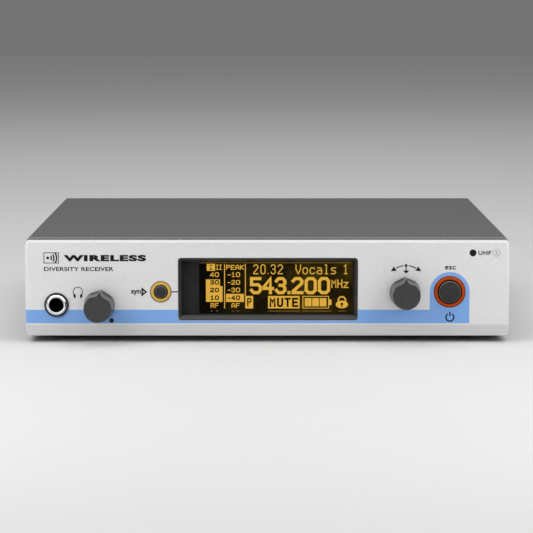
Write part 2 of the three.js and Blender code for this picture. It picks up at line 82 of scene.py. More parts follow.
def bezier_corners(points, radii, n=4, closed=False):
    """The polyline with its corners rounded off."""
    out = []
    k = len(points)
    if not isinstance(radii, (list, tuple)):
        radii = [radii] * k
    for i, p in enumerate(points):
        r = radii[i]
        if r <= 0 or (not closed and i in (0, k - 1)):
            out.append(tuple(p))
            continue
        a, b = Vector(points[i - 1]), Vector(points[(i + 1) % k])
        c = Vector(p)
        da, db = a - c, b - c
        la, lb = da.length, db.length
        d = min(r, 0.49 * la, 0.49 * lb)
        s, e = c + da * (d / la), c + db * (d / lb)
        for j in range(n + 1):
            t = j / n
            q = s * (1 - t) ** 2 + c * (2 * t * (1 - t)) + e * t * t
            out.append((q.x, q.y))
    return out


def rrect(x0, x1, z0, z1, r, n=6, cuts=()):
    """A rounded rectangle, anticlockwise from its lower right, with extra points on its upright sides at the heights in cuts."""
    out = []
    for cx, cz, a0 in (
        (x1 - r, z0 + r, -90),
        (x1 - r, z1 - r, 0),
        (x0 + r, z1 - r, 90),
        (x0 + r, z0 + r, 180),
    ):
        for i in range(n + 1):
            a = math.radians(a0 + 90 * i / n)
            out.append((cx + r * math.cos(a), cz + r * math.sin(a)))
        if a0 == -90:
            out += [(x1, h) for h in sorted(cuts)]
        if a0 == 90:
            out += [(x0, h) for h in sorted(cuts, reverse=True)]
    return out


def ring_angles(cz, r, n=64, cuts=()):
    """Angles round a circle, among them those where it crosses the heights in cuts."""
    special = []
    for h in cuts:
        s = (h - cz) / r
        if abs(s) < 0.999:
            special += [math.asin(s) % (2 * pi), (pi - math.asin(s)) % (2 * pi)]
    plain = [2 * pi * i / n for i in range(n)]
    plain = [a for a in plain if all(abs(a - s) > 0.3 * 2 * pi / n for s in special)]
    return sorted(plain + special)


def circle(c, r, angles):
    return [(c[0] + r * math.cos(a), c[1] + r * math.sin(a)) for a in angles]


def inside(p, loop):
    x, y = p
    hit = False
    for i in range(len(loop)):
        (x0, y0), (x1, y1) = loop[i - 1], loop[i]
        if (y0 > y) != (y1 > y) and x < (x1 - x0) * (y - y0) / (y1 - y0) + x0:
            hit = not hit
    return hit


# ------------------------------------------------------------------ meshes
class Solid:
    def __init__(self):
        self.v, self.f, self.m = [], [], []

    def add(self, part, mat=0):
        verts, faces = part
        o = len(self.v)
        self.v += [tuple(p) for p in verts]
        self.f += [[i + o for i in f] for f in faces]
        self.m += [mat] * len(faces) if isinstance(mat, int) else list(mat)
        return self


def loft(loops, closed=True, ring=False, caps=(False, False)):
    n, k = len(loops[0]), len(loops)
    verts = [p for l in loops for p in l]
    faces = []
    for j in range(k if ring else k - 1):
        a, b = j * n, ((j + 1) % k) * n
        for i in range(n if closed else n - 1):
            q = (i + 1) % n
            faces.append([a + i, a + q, b + q, b + i])
    if caps[0]:
        faces.append(list(range(n))[::-1])
    if caps[1]:
        faces.append([(k - 1) * n + i for i in range(n)])
    return verts, faces


def lathe(profile, c=(0, 0), n=96, ring=False, axis="y"):
    """Turns pairs of (radius, distance along the axis) about an axis through c."""
    loops = []
    for r, t in profile:
        loop = []
        for i in range(n):
            a = 2 * pi * i / n
            u, w = c[0] + r * math.cos(a), c[1] + r * math.sin(a)
            loop.append({"y": (u, t, w), "z": (u, w, t), "x": (t, u, w)}[axis])
        loops.append(loop)
    return loft(loops, ring=ring)


def plate(outline, y0, y1, r=0.2, n=3):
    """A flat piece between y0 and y1 with rounded rims. outline(inset) gives its loop."""
    loops = []
    for i in range(n + 1):
        a = pi / 2 * i / n
        loops.append(
            [(x, y0 + r * (1 - math.cos(a)), z) for x, z in outline(r * (1 - math.sin(a)))]
        )
    for i in range(n, -1, -1):
        a = pi / 2 * i / n
        loops.append(
            [(x, y1 - r * (1 - math.cos(a)), z) for x, z in outline(r * (1 - math.sin(a)))]
        )
    return loft(loops, caps=(True, True))


def sheet_faces(outer, holes, y, extra=(), flip=False):
    """The flat area between a loop and its holes at depth y, cut along the extra lines. Gives the faces' centres too."""
    pts, edges = [], []

    def line(loop, closed=True):
        o = len(pts)
        pts.extend(Vector(p) for p in loop)
        m = len(loop)
        edges.extend((o + i, o + (i + 1) % m) for i in range(m if closed else m - 1))

    line(outer)
    for h in holes:
        line(h)
    for e in extra:
        line(e, False)
    v, _, f, *_ = delaunay_2d_cdt(pts, edges, [], 0, 1e-5)
    verts = [(p.x, y, p.y) for p in v]
    faces, mids = [], []
    for t in f:
        m = sum((v[i] for i in t), Vector((0, 0))) / len(t)
        if inside(m, outer) and not any(inside(m, h) for h in holes):
            faces.append(list(t)[::-1] if flip else list(t))
            mids.append((m.x, m.y))
    return verts, faces, mids


def cuboid(x0, x1, y0, y1, z0, z1, r=0.2):
    """A box with rounded edges all round."""
    bm = bmesh.new()
    bmesh.ops.create_cube(bm, size=1)
    for v in bm.verts:
        v.co = (
            x0 if v.co.x < 0 else x1,
            y0 if v.co.y < 0 else y1,
            z0 if v.co.z < 0 else z1,
        )
    if r:
        bmesh.ops.bevel(
            bm, geom=bm.edges[:], offset=r, segments=3, profile=0.5, affect="EDGES"
        )
    bm.verts.index_update()
    out = [tuple(v.co) for v in bm.verts], [[v.index for v in f.verts] for f in bm.faces]
    bm.free()
    return out


def link(name, me):
    ob = bpy.data.objects.new(name, me)
    bpy.context.scene.collection.objects.link(ob)
    return ob


def to_mesh(name, solid, materials=(), sharp=33, recalc=True):
    me = bpy.data.meshes.new(name)
    me.from_pydata([(x * MM, y * MM, z * MM) for x, y, z in solid.v], [], solid.f)
    for p, i in zip(me.polygons, solid.m):
        p.material_index = i
    for m in materials:
        me.materials.append(m)
    bm = bmesh.new()
    bm.from_mesh(me)
    bmesh.ops.remove_doubles(bm, verts=bm.verts, dist=2e-6)
    if recalc:
        bmesh.ops.recalc_face_normals(bm, faces=bm.faces)
    bm.to_mesh(me)
    bm.free()
    me.shade_smooth()
    me.set_sharp_from_angle(angle=math.radians(sharp))
    return me


def dress(ob, body="case", nodes=(), slot=None, weighted=True):
    if weighted:
        m = ob.modifiers.new("normals", "WEIGHTED_NORMAL")
        m.keep_sharp = True
        m.weight = 50
    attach(ob, body)
    if nodes:
        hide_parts(*([nodes] if isinstance(nodes, str) else nodes))
    return ob


def piece(name, solid, materials, **kw):
    sharp = kw.pop("sharp", 33)
    if not isinstance(materials, (list, tuple)):
        materials = [materials]
    return dress(link(name, to_mesh(name, solid, materials, sharp)), **kw)


def cut(me, cutters, name):
    """The mesh with the cutters' solids taken out of it."""
    a = link(name + "_a", me)
    b = link(name + "_b", to_mesh(name + "_b", cutters, []))
    m = a.modifiers.new("cut", "BOOLEAN")
    m.operation, m.solver, m.object = "DIFFERENCE", "EXACT", b
    dg = bpy.context.evaluated_depsgraph_get()
    out = bpy.data.meshes.new_from_object(a.evaluated_get(dg))
    out.name = name
    bm = bmesh.new()
    bm.from_mesh(out)
    bmesh.ops.dissolve_degenerate(bm, edges=bm.edges, dist=1e-6)
    bm.to_mesh(out)
    bm.free()
    for ob in (a, b):
        old = ob.data
        bpy.data.objects.remove(ob)
        bpy.data.meshes.remove(old)
    out.shade_smooth()
    out.set_sharp_from_angle(angle=math.radians(33))
    return out


# ------------------------------------------------------------------ materials
def material(
    name,
    base,
    rough,
    metal=0.0,
    spec=None,
    coat=0.0,
    grain=(900, 0.05),
    tone=(60, 0.04),
    dull=(400, 0.06),
    stretch=(1, 1, 1),
    glow=None,
    alpha=1.0,
    second=None,
):
    """grain: bump noise scale and strength; tone: colour noise scale and amount; dull: roughness noise scale and amount."""
    m = bpy.data.materials.new(name)
    m.use_nodes = True
    nt = m.node_tree
    b = nt.nodes["Principled BSDF"]
    n = nt.nodes.new
    L = nt.links.new
    co = n("ShaderNodeTexCoord")
    mp = n("ShaderNodeMapping")
    mp.inputs["Scale"].default_value = stretch
    L(co.outputs["Object"], mp.inputs["Vector"])

    def noise(scale, detail=3.0):
        t = n("ShaderNodeTexNoise")
        t.inputs["Scale"].default_value = scale
        t.inputs["Detail"].default_value = detail
        L(mp.outputs["Vector"], t.inputs["Vector"])
        return t

    lo = [c * (1 - tone[1]) for c in base]
    hi = [min(1, c * (1 + tone[1])) for c in base]
    t = noise(tone[0])
    ramp = n("ShaderNodeValToRGB")
    ramp.color_ramp.elements[0].position = 0.3
    ramp.color_ramp.elements[0].color = (*lo, 1)
    ramp.color_ramp.elements[1].position = 0.7
    ramp.color_ramp.elements[1].color = (*hi, 1)
    L(t.outputs["Fac"], ramp.inputs["Fac"])
    L(ramp.outputs["Color"], b.inputs["Base Color"])
    t = noise(dull[0])
    r = n("ShaderNodeMapRange")
    r.inputs["From Min"].default_value = 0.3
    r.inputs["From Max"].default_value = 0.7
    r.inputs["To Min"].default_value = max(0.02, rough - dull[1])
    r.inputs["To Max"].default_value = min(1, rough + dull[1])
    L(t.outputs["Fac"], r.inputs["Value"])
    L(r.outputs["Result"], b.inputs["Roughness"])
    if grain and grain[1]:
        t = noise(grain[0], 2.0)
        k = n("ShaderNodeBump")
        k.inputs["Strength"].default_value = grain[1]
        k.inputs["Distance"].default_value = 0.0001
        L(t.outputs["Fac"], k.inputs["Height"])
        L(k.outputs["Normal"], b.inputs["Normal"])
    b.inputs["Metallic"].default_value = metal
    if spec is not None:
        b.inputs["Specular IOR Level"].default_value = spec
    if coat:
        b.inputs["Coat Weight"].default_value = coat
        b.inputs["Coat Roughness"].default_value = 0.12
    if glow:
        b.inputs["Emission Color"].default_value = (*glow[0], 1)
        b.inputs["Emission Strength"].default_value = glow[1]
    if alpha < 1:
        b.inputs["Alpha"].default_value = alpha
    return m


def srgb(r, g, b):
    f = lambda c: ((c / 255 + 0.055) / 1.055) ** 2.4 if c > 10 else c / 255 / 12.92
    return f(r), f(g), f(b)


ALU = material("panel_aluminium", (0.66, 0.66, 0.655), 0.5, 0.2, spec=0.35, grain=(5200, 0.25), tone=(1150, 0.035), dull=(1500, 0.06), stretch=(0.45, 1, 1))
ALU_BEVEL = material("panel_aluminium_bevel", (0.655, 0.655, 0.652), 0.42, 0.3, grain=(3000, 0.15), tone=(1500, 0.05), dull=(900, 0.06), stretch=(0.02, 0.6, 1))
ALU_IN = material("panel_aluminium_inside", (0.5, 0.5, 0.5), 0.5, 0.7, grain=(3000, 0.2))
STRIPE = material("stripe_blue", (0.169, 0.334, 0.667), 0.42, 0.0, spec=0.4, grain=(4200, 0.12), tone=(2200, 0.03), dull=(900, 0.05))
PAINT = material("cover_grey", (0.076, 0.076, 0.0753), 0.5, 0.0, spec=0.4, grain=(5200, 0.35), tone=(1800, 0.05), dull=(700, 0.05))
# a lighter grey for the cover's front rim fillet: a painted highlight for the light line along that rim
PAINT_HIGHLIGHT = material("cover_grey_painted_highlight", (0.2, 0.2, 0.198), 0.4, 0.0, spec=0.5, grain=(5200, 0.2), tone=(1800, 0.05), dull=(700, 0.05))
INK = material("legend_ink", (0.006, 0.0065, 0.008), 0.55, 0.0, spec=0.15, grain=(3000, 0.05))
INK_SOFT = material("legend_ink_grey", (0.13, 0.13, 0.135), 0.55, 0.0, spec=0.3, grain=(3000, 0.05))
INK_BLUE = material("legend_ink_blue", (0.004, 0.013, 0.036), 0.55, 0.0, spec=0.15, grain=(3000, 0.05))
KNOB = material("knob_charcoal", (0.026, 0.026, 0.027), 0.27, 0.0, spec=0.5, grain=(4200, 0.02), tone=(1500, 0.08), dull=(300, 0.03))
# a darker charcoal for the scoops near the knob's base: painted shade
KNOB_SCOOP_SHADE = material("knob_charcoal_painted_scoop_shade", (0.011, 0.011, 0.0115), 0.4, 0.0, spec=0.35, grain=(4200, 0.02), tone=(1500, 0.08), dull=(300, 0.03))
CAP = material("button_charcoal", (0.016, 0.016, 0.0175), 0.26, 0.0, spec=0.4, dull=(300, 0.03), grain=(4200, 0.02), tone=(1500, 0.08))
# a lighter, partly metallic grey for the caps' chamfer ring: a painted highlight
CAP_HIGHLIGHT = material("button_charcoal_painted_highlight", (0.13, 0.13, 0.133), 0.3, 0.6, spec=0.5, dull=(300, 0.03), grain=(4200, 0.02), tone=(1500, 0.08))
# the amber ring is unlit; its faint emission is a painted glow
AMBER = material("ring_amber", (0.52, 0.325, 0.065), 0.4, 0.0, spec=0.3, grain=(2500, 0.05), tone=(350, 0.06), glow=((0.66, 0.40, 0.07), 0.08))
# a darker amber for the ring's walls: painted shade
AMBER_SHADE = material("ring_amber_painted_shade", (0.26, 0.155, 0.02), 0.45, 0.0, grain=(2500, 0.05), tone=(350, 0.06))
# the red ring is unlit; its faint emission is a painted glow
RED = material("ring_red", (0.36, 0.046, 0.001), 0.4, 0.0, spec=0.08, grain=(2500, 0.05), tone=(350, 0.06), glow=((0.5, 0.04, 0.003), 0.1))
# a darker red for the ring's walls: painted shade
RED_SHADE = material("ring_red_painted_shade", (0.14, 0.012, 0.001), 0.45, 0.0, grain=(2500, 0.05), tone=(350, 0.06))
CHROME = material("chrome", (0.8, 0.8, 0.81), 0.14, 1.0, grain=(50, 0.0), tone=(300, 0.02), dull=(500, 0.03))
BLACK = material("plastic_black", (0.011, 0.011, 0.012), 0.42, 0.0, grain=(2600, 0.15), tone=(700, 0.1))
BEZEL = material("bezel_black", (0.027, 0.027, 0.028), 0.4, 0.0, spec=0.5, grain=(3800, 0.2), tone=(900, 0.08), dull=(700, 0.05))
MASK = material("window_mask", (0.03, 0.03, 0.031), 0.5, 0.0, spec=0.1, grain=(3000, 0.05), tone=(700, 0.05))
WINDOW = material("window_smoke", (0.004, 0.0035, 0.003), 0.07, 0.0, spec=0.08, grain=(50, 0.0), tone=(200, 0.05), dull=(120, 0.02), alpha=0.12)
ZINC = material("zinc_steel", (0.56, 0.56, 0.57), 0.3, 1.0, grain=(1600, 0.08), tone=(500, 0.06), dull=(700, 0.08))
GOLD = material("contact_gold", (0.72, 0.5, 0.17), 0.22, 1.0, grain=(1600, 0.04), tone=(500, 0.04))
PTFE = material("insulator_white", (0.78, 0.76, 0.7), 0.5, 0.0, grain=(1600, 0.05), tone=(300, 0.03))
RUBBER = material("foot_rubber", (0.012, 0.012, 0.012), 0.8, 0.0, spec=0.3, grain=(2400, 0.4), tone=(500, 0.15))
GREEN = material("board_green", (0.012, 0.1, 0.035), 0.4, 0.0, grain=(900, 0.1), tone=(250, 0.2))
GREY = material("ribbon_grey", (0.42, 0.43, 0.46), 0.5, 0.0, grain=(900, 0.1), tone=(900, 0.1), stretch=(4, 0.2, 0.2))
REDP = material("actuator_red", (0.35, 0.03, 0.02), 0.45, 0.0, grain=(1500, 0.1))


def lit(name, colour, strength, cell=0.26):
    """Glowing display ink with the fine dark lattice between its dots."""
    m = bpy.data.materials.new(name)
    m.use_nodes = True
    nt = m.node_tree
    b = nt.nodes["Principled BSDF"]
    n, L = nt.nodes.new, nt.links.new
    co = n("ShaderNodeTexCoord")
    sep = n("ShaderNodeSeparateXYZ")
    L(co.outputs["Object"], sep.inputs["Vector"])
    masks = []
    for axis in ("X", "Z"):
        f = n("ShaderNodeMath")
        f.operation = "MULTIPLY"
        f.inputs[1].default_value = 1 / (cell * MM)
        L(sep.outputs[axis], f.inputs[0])
        g = n("ShaderNodeMath")
        g.operation = "PINGPONG"
        g.inputs[1].default_value = 0.5
        L(f.outputs[0], g.inputs[0])
        r = n("ShaderNodeMapRange")
        r.inputs["From Min"].default_value = 0.05
        r.inputs["From Max"].default_value = 0.1
        r.inputs["To Min"].default_value = 0.62
        r.inputs["To Max"].default_value = 1.0
        L(g.outputs[0], r.inputs["Value"])
        masks.append(r)
    mul = n("ShaderNodeMath")
    mul.operation = "MULTIPLY"
    L(masks[0].outputs[0], mul.inputs[0])
    L(masks[1].outputs[0], mul.inputs[1])
    mix = n("ShaderNodeMix")
    mix.data_type = "RGBA"
    mix.inputs["A"].default_value = (0, 0, 0, 1)
    mix.inputs["B"].default_value = (*colour, 1)
    L(mul.outputs[0], mix.inputs["Factor"])
    L(mix.outputs["Result"], b.inputs["Emission Color"])
    b.inputs["Emission Strength"].default_value = strength
    b.inputs["Base Color"].default_value = (0.02, 0.015, 0.005, 1)
    b.inputs["Roughness"].default_value = 0.5
    b.inputs["Specular IOR Level"].default_value = 0.05
    return m


LIT = lit("display_lit", (0.80, 0.455, 0.055), 1.25)
LIT_DIM = lit("display_lit_dim", (0.80, 0.455, 0.055), 0.42)
UNLIT = material("display_unlit", (0.002, 0.0015, 0.001), 0.5, 0.0, spec=0.02, grain=(50, 0.0), tone=(300, 0.1))


def haze():
    """The display's dark ground, with the faint brown glow of its lamp on the right."""
    m = material("display_ground", (0.002, 0.0015, 0.001), 0.5, 0.0, spec=0.02, grain=(50, 0.0), tone=(300, 0.1))
    nt = m.node_tree
    b = nt.nodes["Principled BSDF"]
    n, L = nt.nodes.new, nt.links.new
    co = n("ShaderNodeTexCoord")
    sep = n("ShaderNodeSeparateXYZ")
    L(co.outputs["Object"], sep.inputs["Vector"])
    r = n("ShaderNodeMapRange")
    r.inputs["From Min"].default_value = -0.024
    r.inputs["From Max"].default_value = 0.012
    L(sep.outputs["X"], r.inputs["Value"])
    t = n("ShaderNodeTexNoise")
    t.inputs["Scale"].default_value = 95
    t.inputs["Detail"].default_value = 2
    L(co.outputs["Object"], t.inputs["Vector"])
    r2 = n("ShaderNodeMapRange")
    r2.inputs["From Min"].default_value = 0.38
    r2.inputs["From Max"].default_value = 0.66
    r2.inputs["To Min"].default_value = 0.25
    L(t.outputs["Fac"], r2.inputs["Value"])
    mul = n("ShaderNodeMath")
    mul.operation = "MULTIPLY"
    L(r.outputs[0], mul.inputs[0])
    L(r2.outputs[0], mul.inputs[1])
    mix = n("ShaderNodeMix")
    mix.data_type = "RGBA"
    mix.inputs["A"].default_value = (0.0008, 0.0005, 0.0, 1)
    mix.inputs["B"].default_value = (0.047, 0.030, 0.0015, 1)
    L(mul.outputs[0], mix.inputs["Factor"])
    L(mix.outputs["Result"], b.inputs["Emission Color"])
    b.inputs["Emission Strength"].default_value = 1.0
    return m


GROUND = haze()

# ------------------------------------------------------------------ front panel
ZLO, ZHI = B + 6.75, B + 12.75  # the blue stripe
PZ0, PZ1 = PANEL_Z0 - 0.25, TOP - 0.25  # the panel's lower and upper edge
PY1 = PANEL_Y1 - 1.1  # its rear rim
WX0, WX1, WZ0, WZ1 = F_LO[0], F_HI[0], F_LO[2], F_HI[2]
HOLES = [(PHONES, 5.25), (VOL, 3.9), (JOG, 3.9), (SYNC, 4.72), (ESC, 7.04)]


def front_panel():
    prof = bezier_corners(
        [
            (FACE + 5, PZ0),
            (FACE + 1.7, PZ0),
            (FACE, B + 6.2),
            (FACE, ZLO),
            (FACE, ZHI),
            (FACE, PZ1 - 4.0),
            (FACE, PZ1 - 3.0),
            (FACE, PZ1 - 2.1),
            (FACE, PZ1 - 1.2),
            (FACE, PZ1),
            (FACE + 5, PZ1),
        ],
        [0, 0.4, 0.12, 0, 0, 0, 0, 0, 0, 0.38, 0],
        n=7,
    )[1:-1]
    r, na = 1.3, 7

    def inset(z):
        e = 0.0
        if z < PZ0 + 0.8:
            e = 0.8 * (1 - math.sqrt(max(0, 1 - ((PZ0 + 0.8 - z) / 0.8) ** 2)))
        if z > PZ1 - 4.0:
            e = 0.9 * (1 - math.sqrt(max(0, 1 - ((z - PZ1 + 4.0) / 4.0) ** 2)))
        return e

    rows = []
    for y, z in prof:
        x = W2 - inset(z)
        left = [(-x, PY1, z)]
        for i in range(na + 1):
            a = pi + pi / 2 * i / na
            left.append((-x + r + r * math.cos(a), min(PY1, y + r + r * math.sin(a)), z))
        rows.append(left + [(-px, py, pz) for px, py, pz in reversed(left)])
    n = len(rows[0])
    flat = [j for j, (y, z) in enumerate(prof) if abs(y - FACE) < 1e-4]
    s = Solid()
    verts = [p for row in rows for p in row]
    faces, mats = [], []
    for j in range(len(rows) - 1):
        for i in range(n - 1):
            if i == na + 1 and j in flat and j + 1 in flat:
                continue  # the flat area is laid separately
            faces.append([j * n + i, j * n + i + 1, (j + 1) * n + i + 1, (j + 1) * n + i])
            zm = (rows[j][0][2] + rows[j + 1][0][2]) / 2
            mats.append(1 if ZLO < zm < ZHI and i <= na else 3 if zm < B + 6.1 else 0)
    faces.append(list(range(n))[::-1])
    mats.append(0)
    faces.append([(len(rows) - 1) * n + i for i in range(n)])
    mats.append(0)
    s.add((verts, faces), mats)

    # the flat face with its holes and the printed stripe
    zs = [prof[j][1] for j in flat]
    xe = W2 - r
    outer = [(inset(z) - xe, z) for z in reversed(zs)] + [(xe - inset(z), z) for z in zs]
    c = 0.12
    rings = [
        (p, rad, ring_angles(p[1], rad + c, 72, (ZLO, ZHI))) for p, rad in HOLES
    ]
    g = 0.12
    win = lambda e: rrect(WX0 - g - e, WX1 + g + e, WZ0 - g - e, WZ1 + g + e, 1.3 + e, 6, (ZHI,))
    holes = [circle(p, rad + c, a) for p, rad, a in rings] + [win(c)]
    ax0, ax1, az, ar = ESC[0] - 8.7, ESC[0] + 8.7, ESC[1], 8.7
    arch = [(ax0, ZHI), (ax0, az)] + [
        (ESC[0] - ar * math.cos(pi * i / 32), az + ar * math.sin(pi * i / 32)) for i in range(1, 32)
    ] + [(ax1, az), (ax1, ZLO)]
    lines = [[(-xe, ZHI)] + arch + [(-xe, ZLO)]]
    v, f, mids = sheet_faces(outer, holes, FACE, lines)

    def blue(x, z):
        if ZLO < z < ZHI and x < ax1:
            return 1
        if ax0 < x < ax1 and ZLO < z < az:
            return 1
        return 1 if math.hypot(x - ESC[0], z - az) < ar - 0.001 and z >= az else 0

    s.add((v, f), [blue(*m) for m in mids])
    # hole rims and walls, and the inner face
    y_in = FACE + 2.4
    loops_in = []
    steps = [(c * (1 - math.sin(pi / 2 * k / 3)), c * (1 - math.cos(pi / 2 * k / 3))) for k in range(4)]
    for p, rad, a in rings:
        ls = [[(x, FACE + d, z) for x, z in circle(p, rad + e, a)] for e, d in steps]
        ls.append([(x, y_in, z) for x, z in circle(p, rad, a)])
        s.add(loft(ls), 0)
        loops_in.append(circle(p, rad, a))
    ls = [[(x, FACE + d, z) for x, z in win(e)] for e, d in steps]
    ls.append([(x, y_in, z) for x, z in win(0)])
    s.add(loft(ls), 0)
    loops_in.append(win(0))
    ix, iz0, iz1 = W2 - 2.2, B + 4.2, TOP - 2.4
    pocket = [(-ix, iz0), (ix, iz0), (ix, iz1), (-ix, iz1)]
    v, f, _ = sheet_faces(pocket, loops_in, y_in)
    s.add((v, f), 2)
    s.add(loft([[(x, y_in, z) for x, z in pocket], [(x, PY1, z) for x, z in pocket]]), 2)
    rim = [(row[0][0], row[0][2]) for row in rows] + [(row[-1][0], row[-1][2]) for row in reversed(rows)]
    v, f, _ = sheet_faces(rim, [pocket], PY1)
    s.add((v, f), 2)
    return piece("panel", s, [ALU, STRIPE, ALU_IN, ALU_BEVEL], nodes="front_panel", slot="aluminium_panel")


front_panel()


# ------------------------------------------------------------------ printed legends
INK_Y0, INK_Y1 = FACE - 0.035, FACE + 0.02


def ribbon(points, w, y0=INK_Y0, y1=INK_Y1, closed=False, cap=True):
    """A flat stroke of width w along points (x, z), as a thin closed solid."""
    p = [Vector(q) for q in points]
    if len(p) == 1:
        a = w / 2
        c = p[0]
        return slabs([(c.x - a, c.y - a), (c.x + a, c.y - a), (c.x + a, c.y + a), (c.x - a, c.y + a)], y0, y1)
    if cap and not closed:
        d = (p[0] - p[1]).normalized() * w / 2
        p[0] = p[0] + d
        d = (p[-1] - p[-2]).normalized() * w / 2
        p[-1] = p[-1] + d
    k = len(p)
    left, right = [], []
    for i in range(k):
        a = p[i] - p[i - 1] if (i > 0 or closed) else p[1] - p[0]
        b = p[(i + 1) % k] - p[i] if (i < k - 1 or closed) else p[-1] - p[-2]
        a, b = a.normalized(), b.normalized()
        na, nb = Vector((-a.y, a.x)), Vector((-b.y, b.x))
        m = (na + nb) / max(0.35, (1 + na.dot(nb)))
        left.append(p[i] + m * w / 2)
        right.append(p[i] - m * w / 2)
    loops = [
        [(q.x, y0, q.y) for q in left],
        [(q.x, y0, q.y) for q in right],
        [(q.x, y1, q.y) for q in right],
        [(q.x, y1, q.y) for q in left],
    ]
    rows = [[l[i] for l in loops] for i in range(k)]
    return loft(rows, ring=closed, caps=(not closed, not closed))


def slabs(outline, y0=INK_Y0, y1=INK_Y1):
    return loft([[(x, y0, z) for x, z in outline], [(x, y1, z) for x, z in outline]], caps=(True, True))


def disc(cx, cz, r, n=40, y0=INK_Y0, y1=INK_Y1):
    return slabs([(cx + r * math.cos(2 * pi * i / n), cz + r * math.sin(2 * pi * i / n)) for i in range(n)], y0, y1)


def arc_pts(cx, cz, r, a0, a1, n=24):
    return [
        (cx + r * math.cos(math.radians(a0 + (a1 - a0) * i / n)), cz + r * math.sin(math.radians(a0 + (a1 - a0) * i / n)))
        for i in range(n + 1)
    ]


def lettering(text, x0, x1, z0, z1, bold=0.0, shear=0.0, gap=1.0):
    """Letters fitted to a box on the panel's face."""
    cu = bpy.data.curves.new("t", "FONT")
    cu.body = text
    cu.size = 1
    cu.offset = bold
    cu.shear = shear
    cu.space_character = gap
    cu.resolution_u = 5
    ob = link("t", cu)
    me = bpy.data.meshes.new_from_object(ob.evaluated_get(bpy.context.evaluated_depsgraph_get()))
    xs = [v.co.x for v in me.vertices]
    ys = [v.co.y for v in me.vertices]
    ax, bx, ay, by = min(xs), max(xs), min(ys), max(ys)
    flat = [
        (x0 + (v.co.x - ax) / (bx - ax) * (x1 - x0), z0 + (v.co.y - ay) / (by - ay) * (z1 - z0))
        for v in me.vertices
    ]
    faces = [list(p.vertices) for p in me.polygons]
    count = {}
    for f in faces:
        for i in range(len(f)):
            e = (f[i - 1], f[i])
            count[e] = count.get(e, 0) + 1
    n = len(flat)
    verts = [(x, INK_Y0, z) for x, z in flat] + [(x, INK_Y1, z) for x, z in flat]
    out = [f for f in faces] + [[i + n for i in reversed(f)] for f in faces]
    for a, b in count:
        if (b, a) not in count:
            out.append([b, a, a + n, b + n])
    bpy.data.objects.remove(ob)
    bpy.data.curves.remove(cu)
    bpy.data.meshes.remove(me)
    return verts, out


def legends():
    s = Solid()
    # maker's block: a plain wave icon, a bold word and a thin line of description
    ix0, ix1, iz0, iz1 = -97.55, -91.2, B + 33.4, B + 37.9
    s.add(ribbon([(ix0, iz0), (ix1, iz0), (ix1, iz1), (ix0, iz1)], 0.32, closed=True))
    cx, cz = ix0 + 1.7, (iz0 + iz1) / 2
    s.add(disc(cx, cz, 0.62))
    for r in (1.75, 2.9, 4.05):
        s.add(ribbon(arc_pts(cx - 0.2, cz, r, -33, 33, 12), 0.62, cap=False))
    s.add(lettering("WIRELESS", -88.95, -52.9, B + 34.15, B + 36.95, bold=0.062, gap=1.16))
    grey = Solid()
    s.add(lettering("DIVERSITY RECEIVER", -97.6, -67.2, B + 29.85, B + 31.65, bold=0.022, gap=1.04))
    # band mark at the upper right
    cx, cz = 89.75, B + 37.87
    s.add(disc(cx, cz, 1.52))
    s.add(lettering("UHF", 92.1, 97.7, B + 36.95, B + 38.75, bold=0.028, gap=1.1))
    grey.add(ribbon(arc_pts(100.0, cz, 1.5, 0, 348, 30), 0.16, closed=True))
    grey.add(lettering("2", 99.5, 100.5, B + 37.15, B + 38.55))
    # headphones
    cx, cz = -82.9, B + 20.72
    s.add(ribbon(arc_pts(cx, cz, 2.02, -34, 214, 30), 0.36, cap=False))
    for k in (-1, 1):
        cup = [(0.95, -2.75), (0.98, -1.35), (1.3, -1.0), (1.9, -1.15), (2.05, -1.75), (1.75, -2.5), (1.3, -2.9)]
        s.add(slabs([(cx + k * x, cz + z) for x, z in cup][::k]))
    # end-of-travel dot of the volume
    s.add(disc(-68.3, B + 7.98, 1.04))
    # sync: word, arrow and the line to the display
    z = B + 20.65
    s.add(lettering("syn", -59.6, -55.35, B + 19.2, B + 21.5, bold=0.032))
    s.add(ribbon([(-54.8, z - 1.45), (-53.0, z), (-54.8, z + 1.45)], 0.62, closed=True))
    s.add(ribbon(arc_pts(-54.1, z, 0.5, 55, 305, 12), 0.28, cap=False))
    s.add(ribbon([(SYNC[0] + 4.85, z + 0.05), (WX0 - 0.2, z + 0.05)], 0.5, cap=False))
    # jog: two-way arc and push arrow
    jx = JOG[0] + 0.36
    for k in (-1, 1):
        s.add(ribbon([(jx + k * x, B + h) for x, h in ((4.4, 31.05), (3.6, 31.5), (2.6, 31.92), (1.15, 32.25))], 0.44, cap=False))
        s.add(slabs([(jx + k * x, B + h) for x, h in ((6.65, 29.8), (5.35, 31.9), (4.05, 30.0))][:: -k]))
    s.add(disc(jx, B + 32.33, 0.62))
    s.add(ribbon([(jx, B + 32.3), (jx, B + 29.8)], 0.44, cap=False))
    s.add(slabs([(jx - 1.42, B + 30.08), (jx, B + 28.75), (jx + 1.42, B + 30.08)]))
    # escape label
    s.add(lettering("esc", ESC[0] - 2.2, ESC[0] + 2.5, B + 30.5, B + 32.15, bold=0.02, gap=1.08))
    piece("legends", s, [INK], slot="black_plastic", weighted=False)
    piece("legends_fine", grey, [INK_SOFT], slot="black_plastic", weighted=False)
    # standby mark on the blue
    b = Solid()
    b.add(ribbon(arc_pts(ESC[0] + 0.2, B + 9.4, 1.7, 122, 418, 36), 0.62, cap=False))
    b.add(ribbon([(ESC[0] + 0.2, B + 9.9), (ESC[0] + 0.2, B + 11.85)], 0.58, cap=False))
    piece("standby_mark", b, [INK_BLUE], slot="black_plastic", weighted=False)


legends()


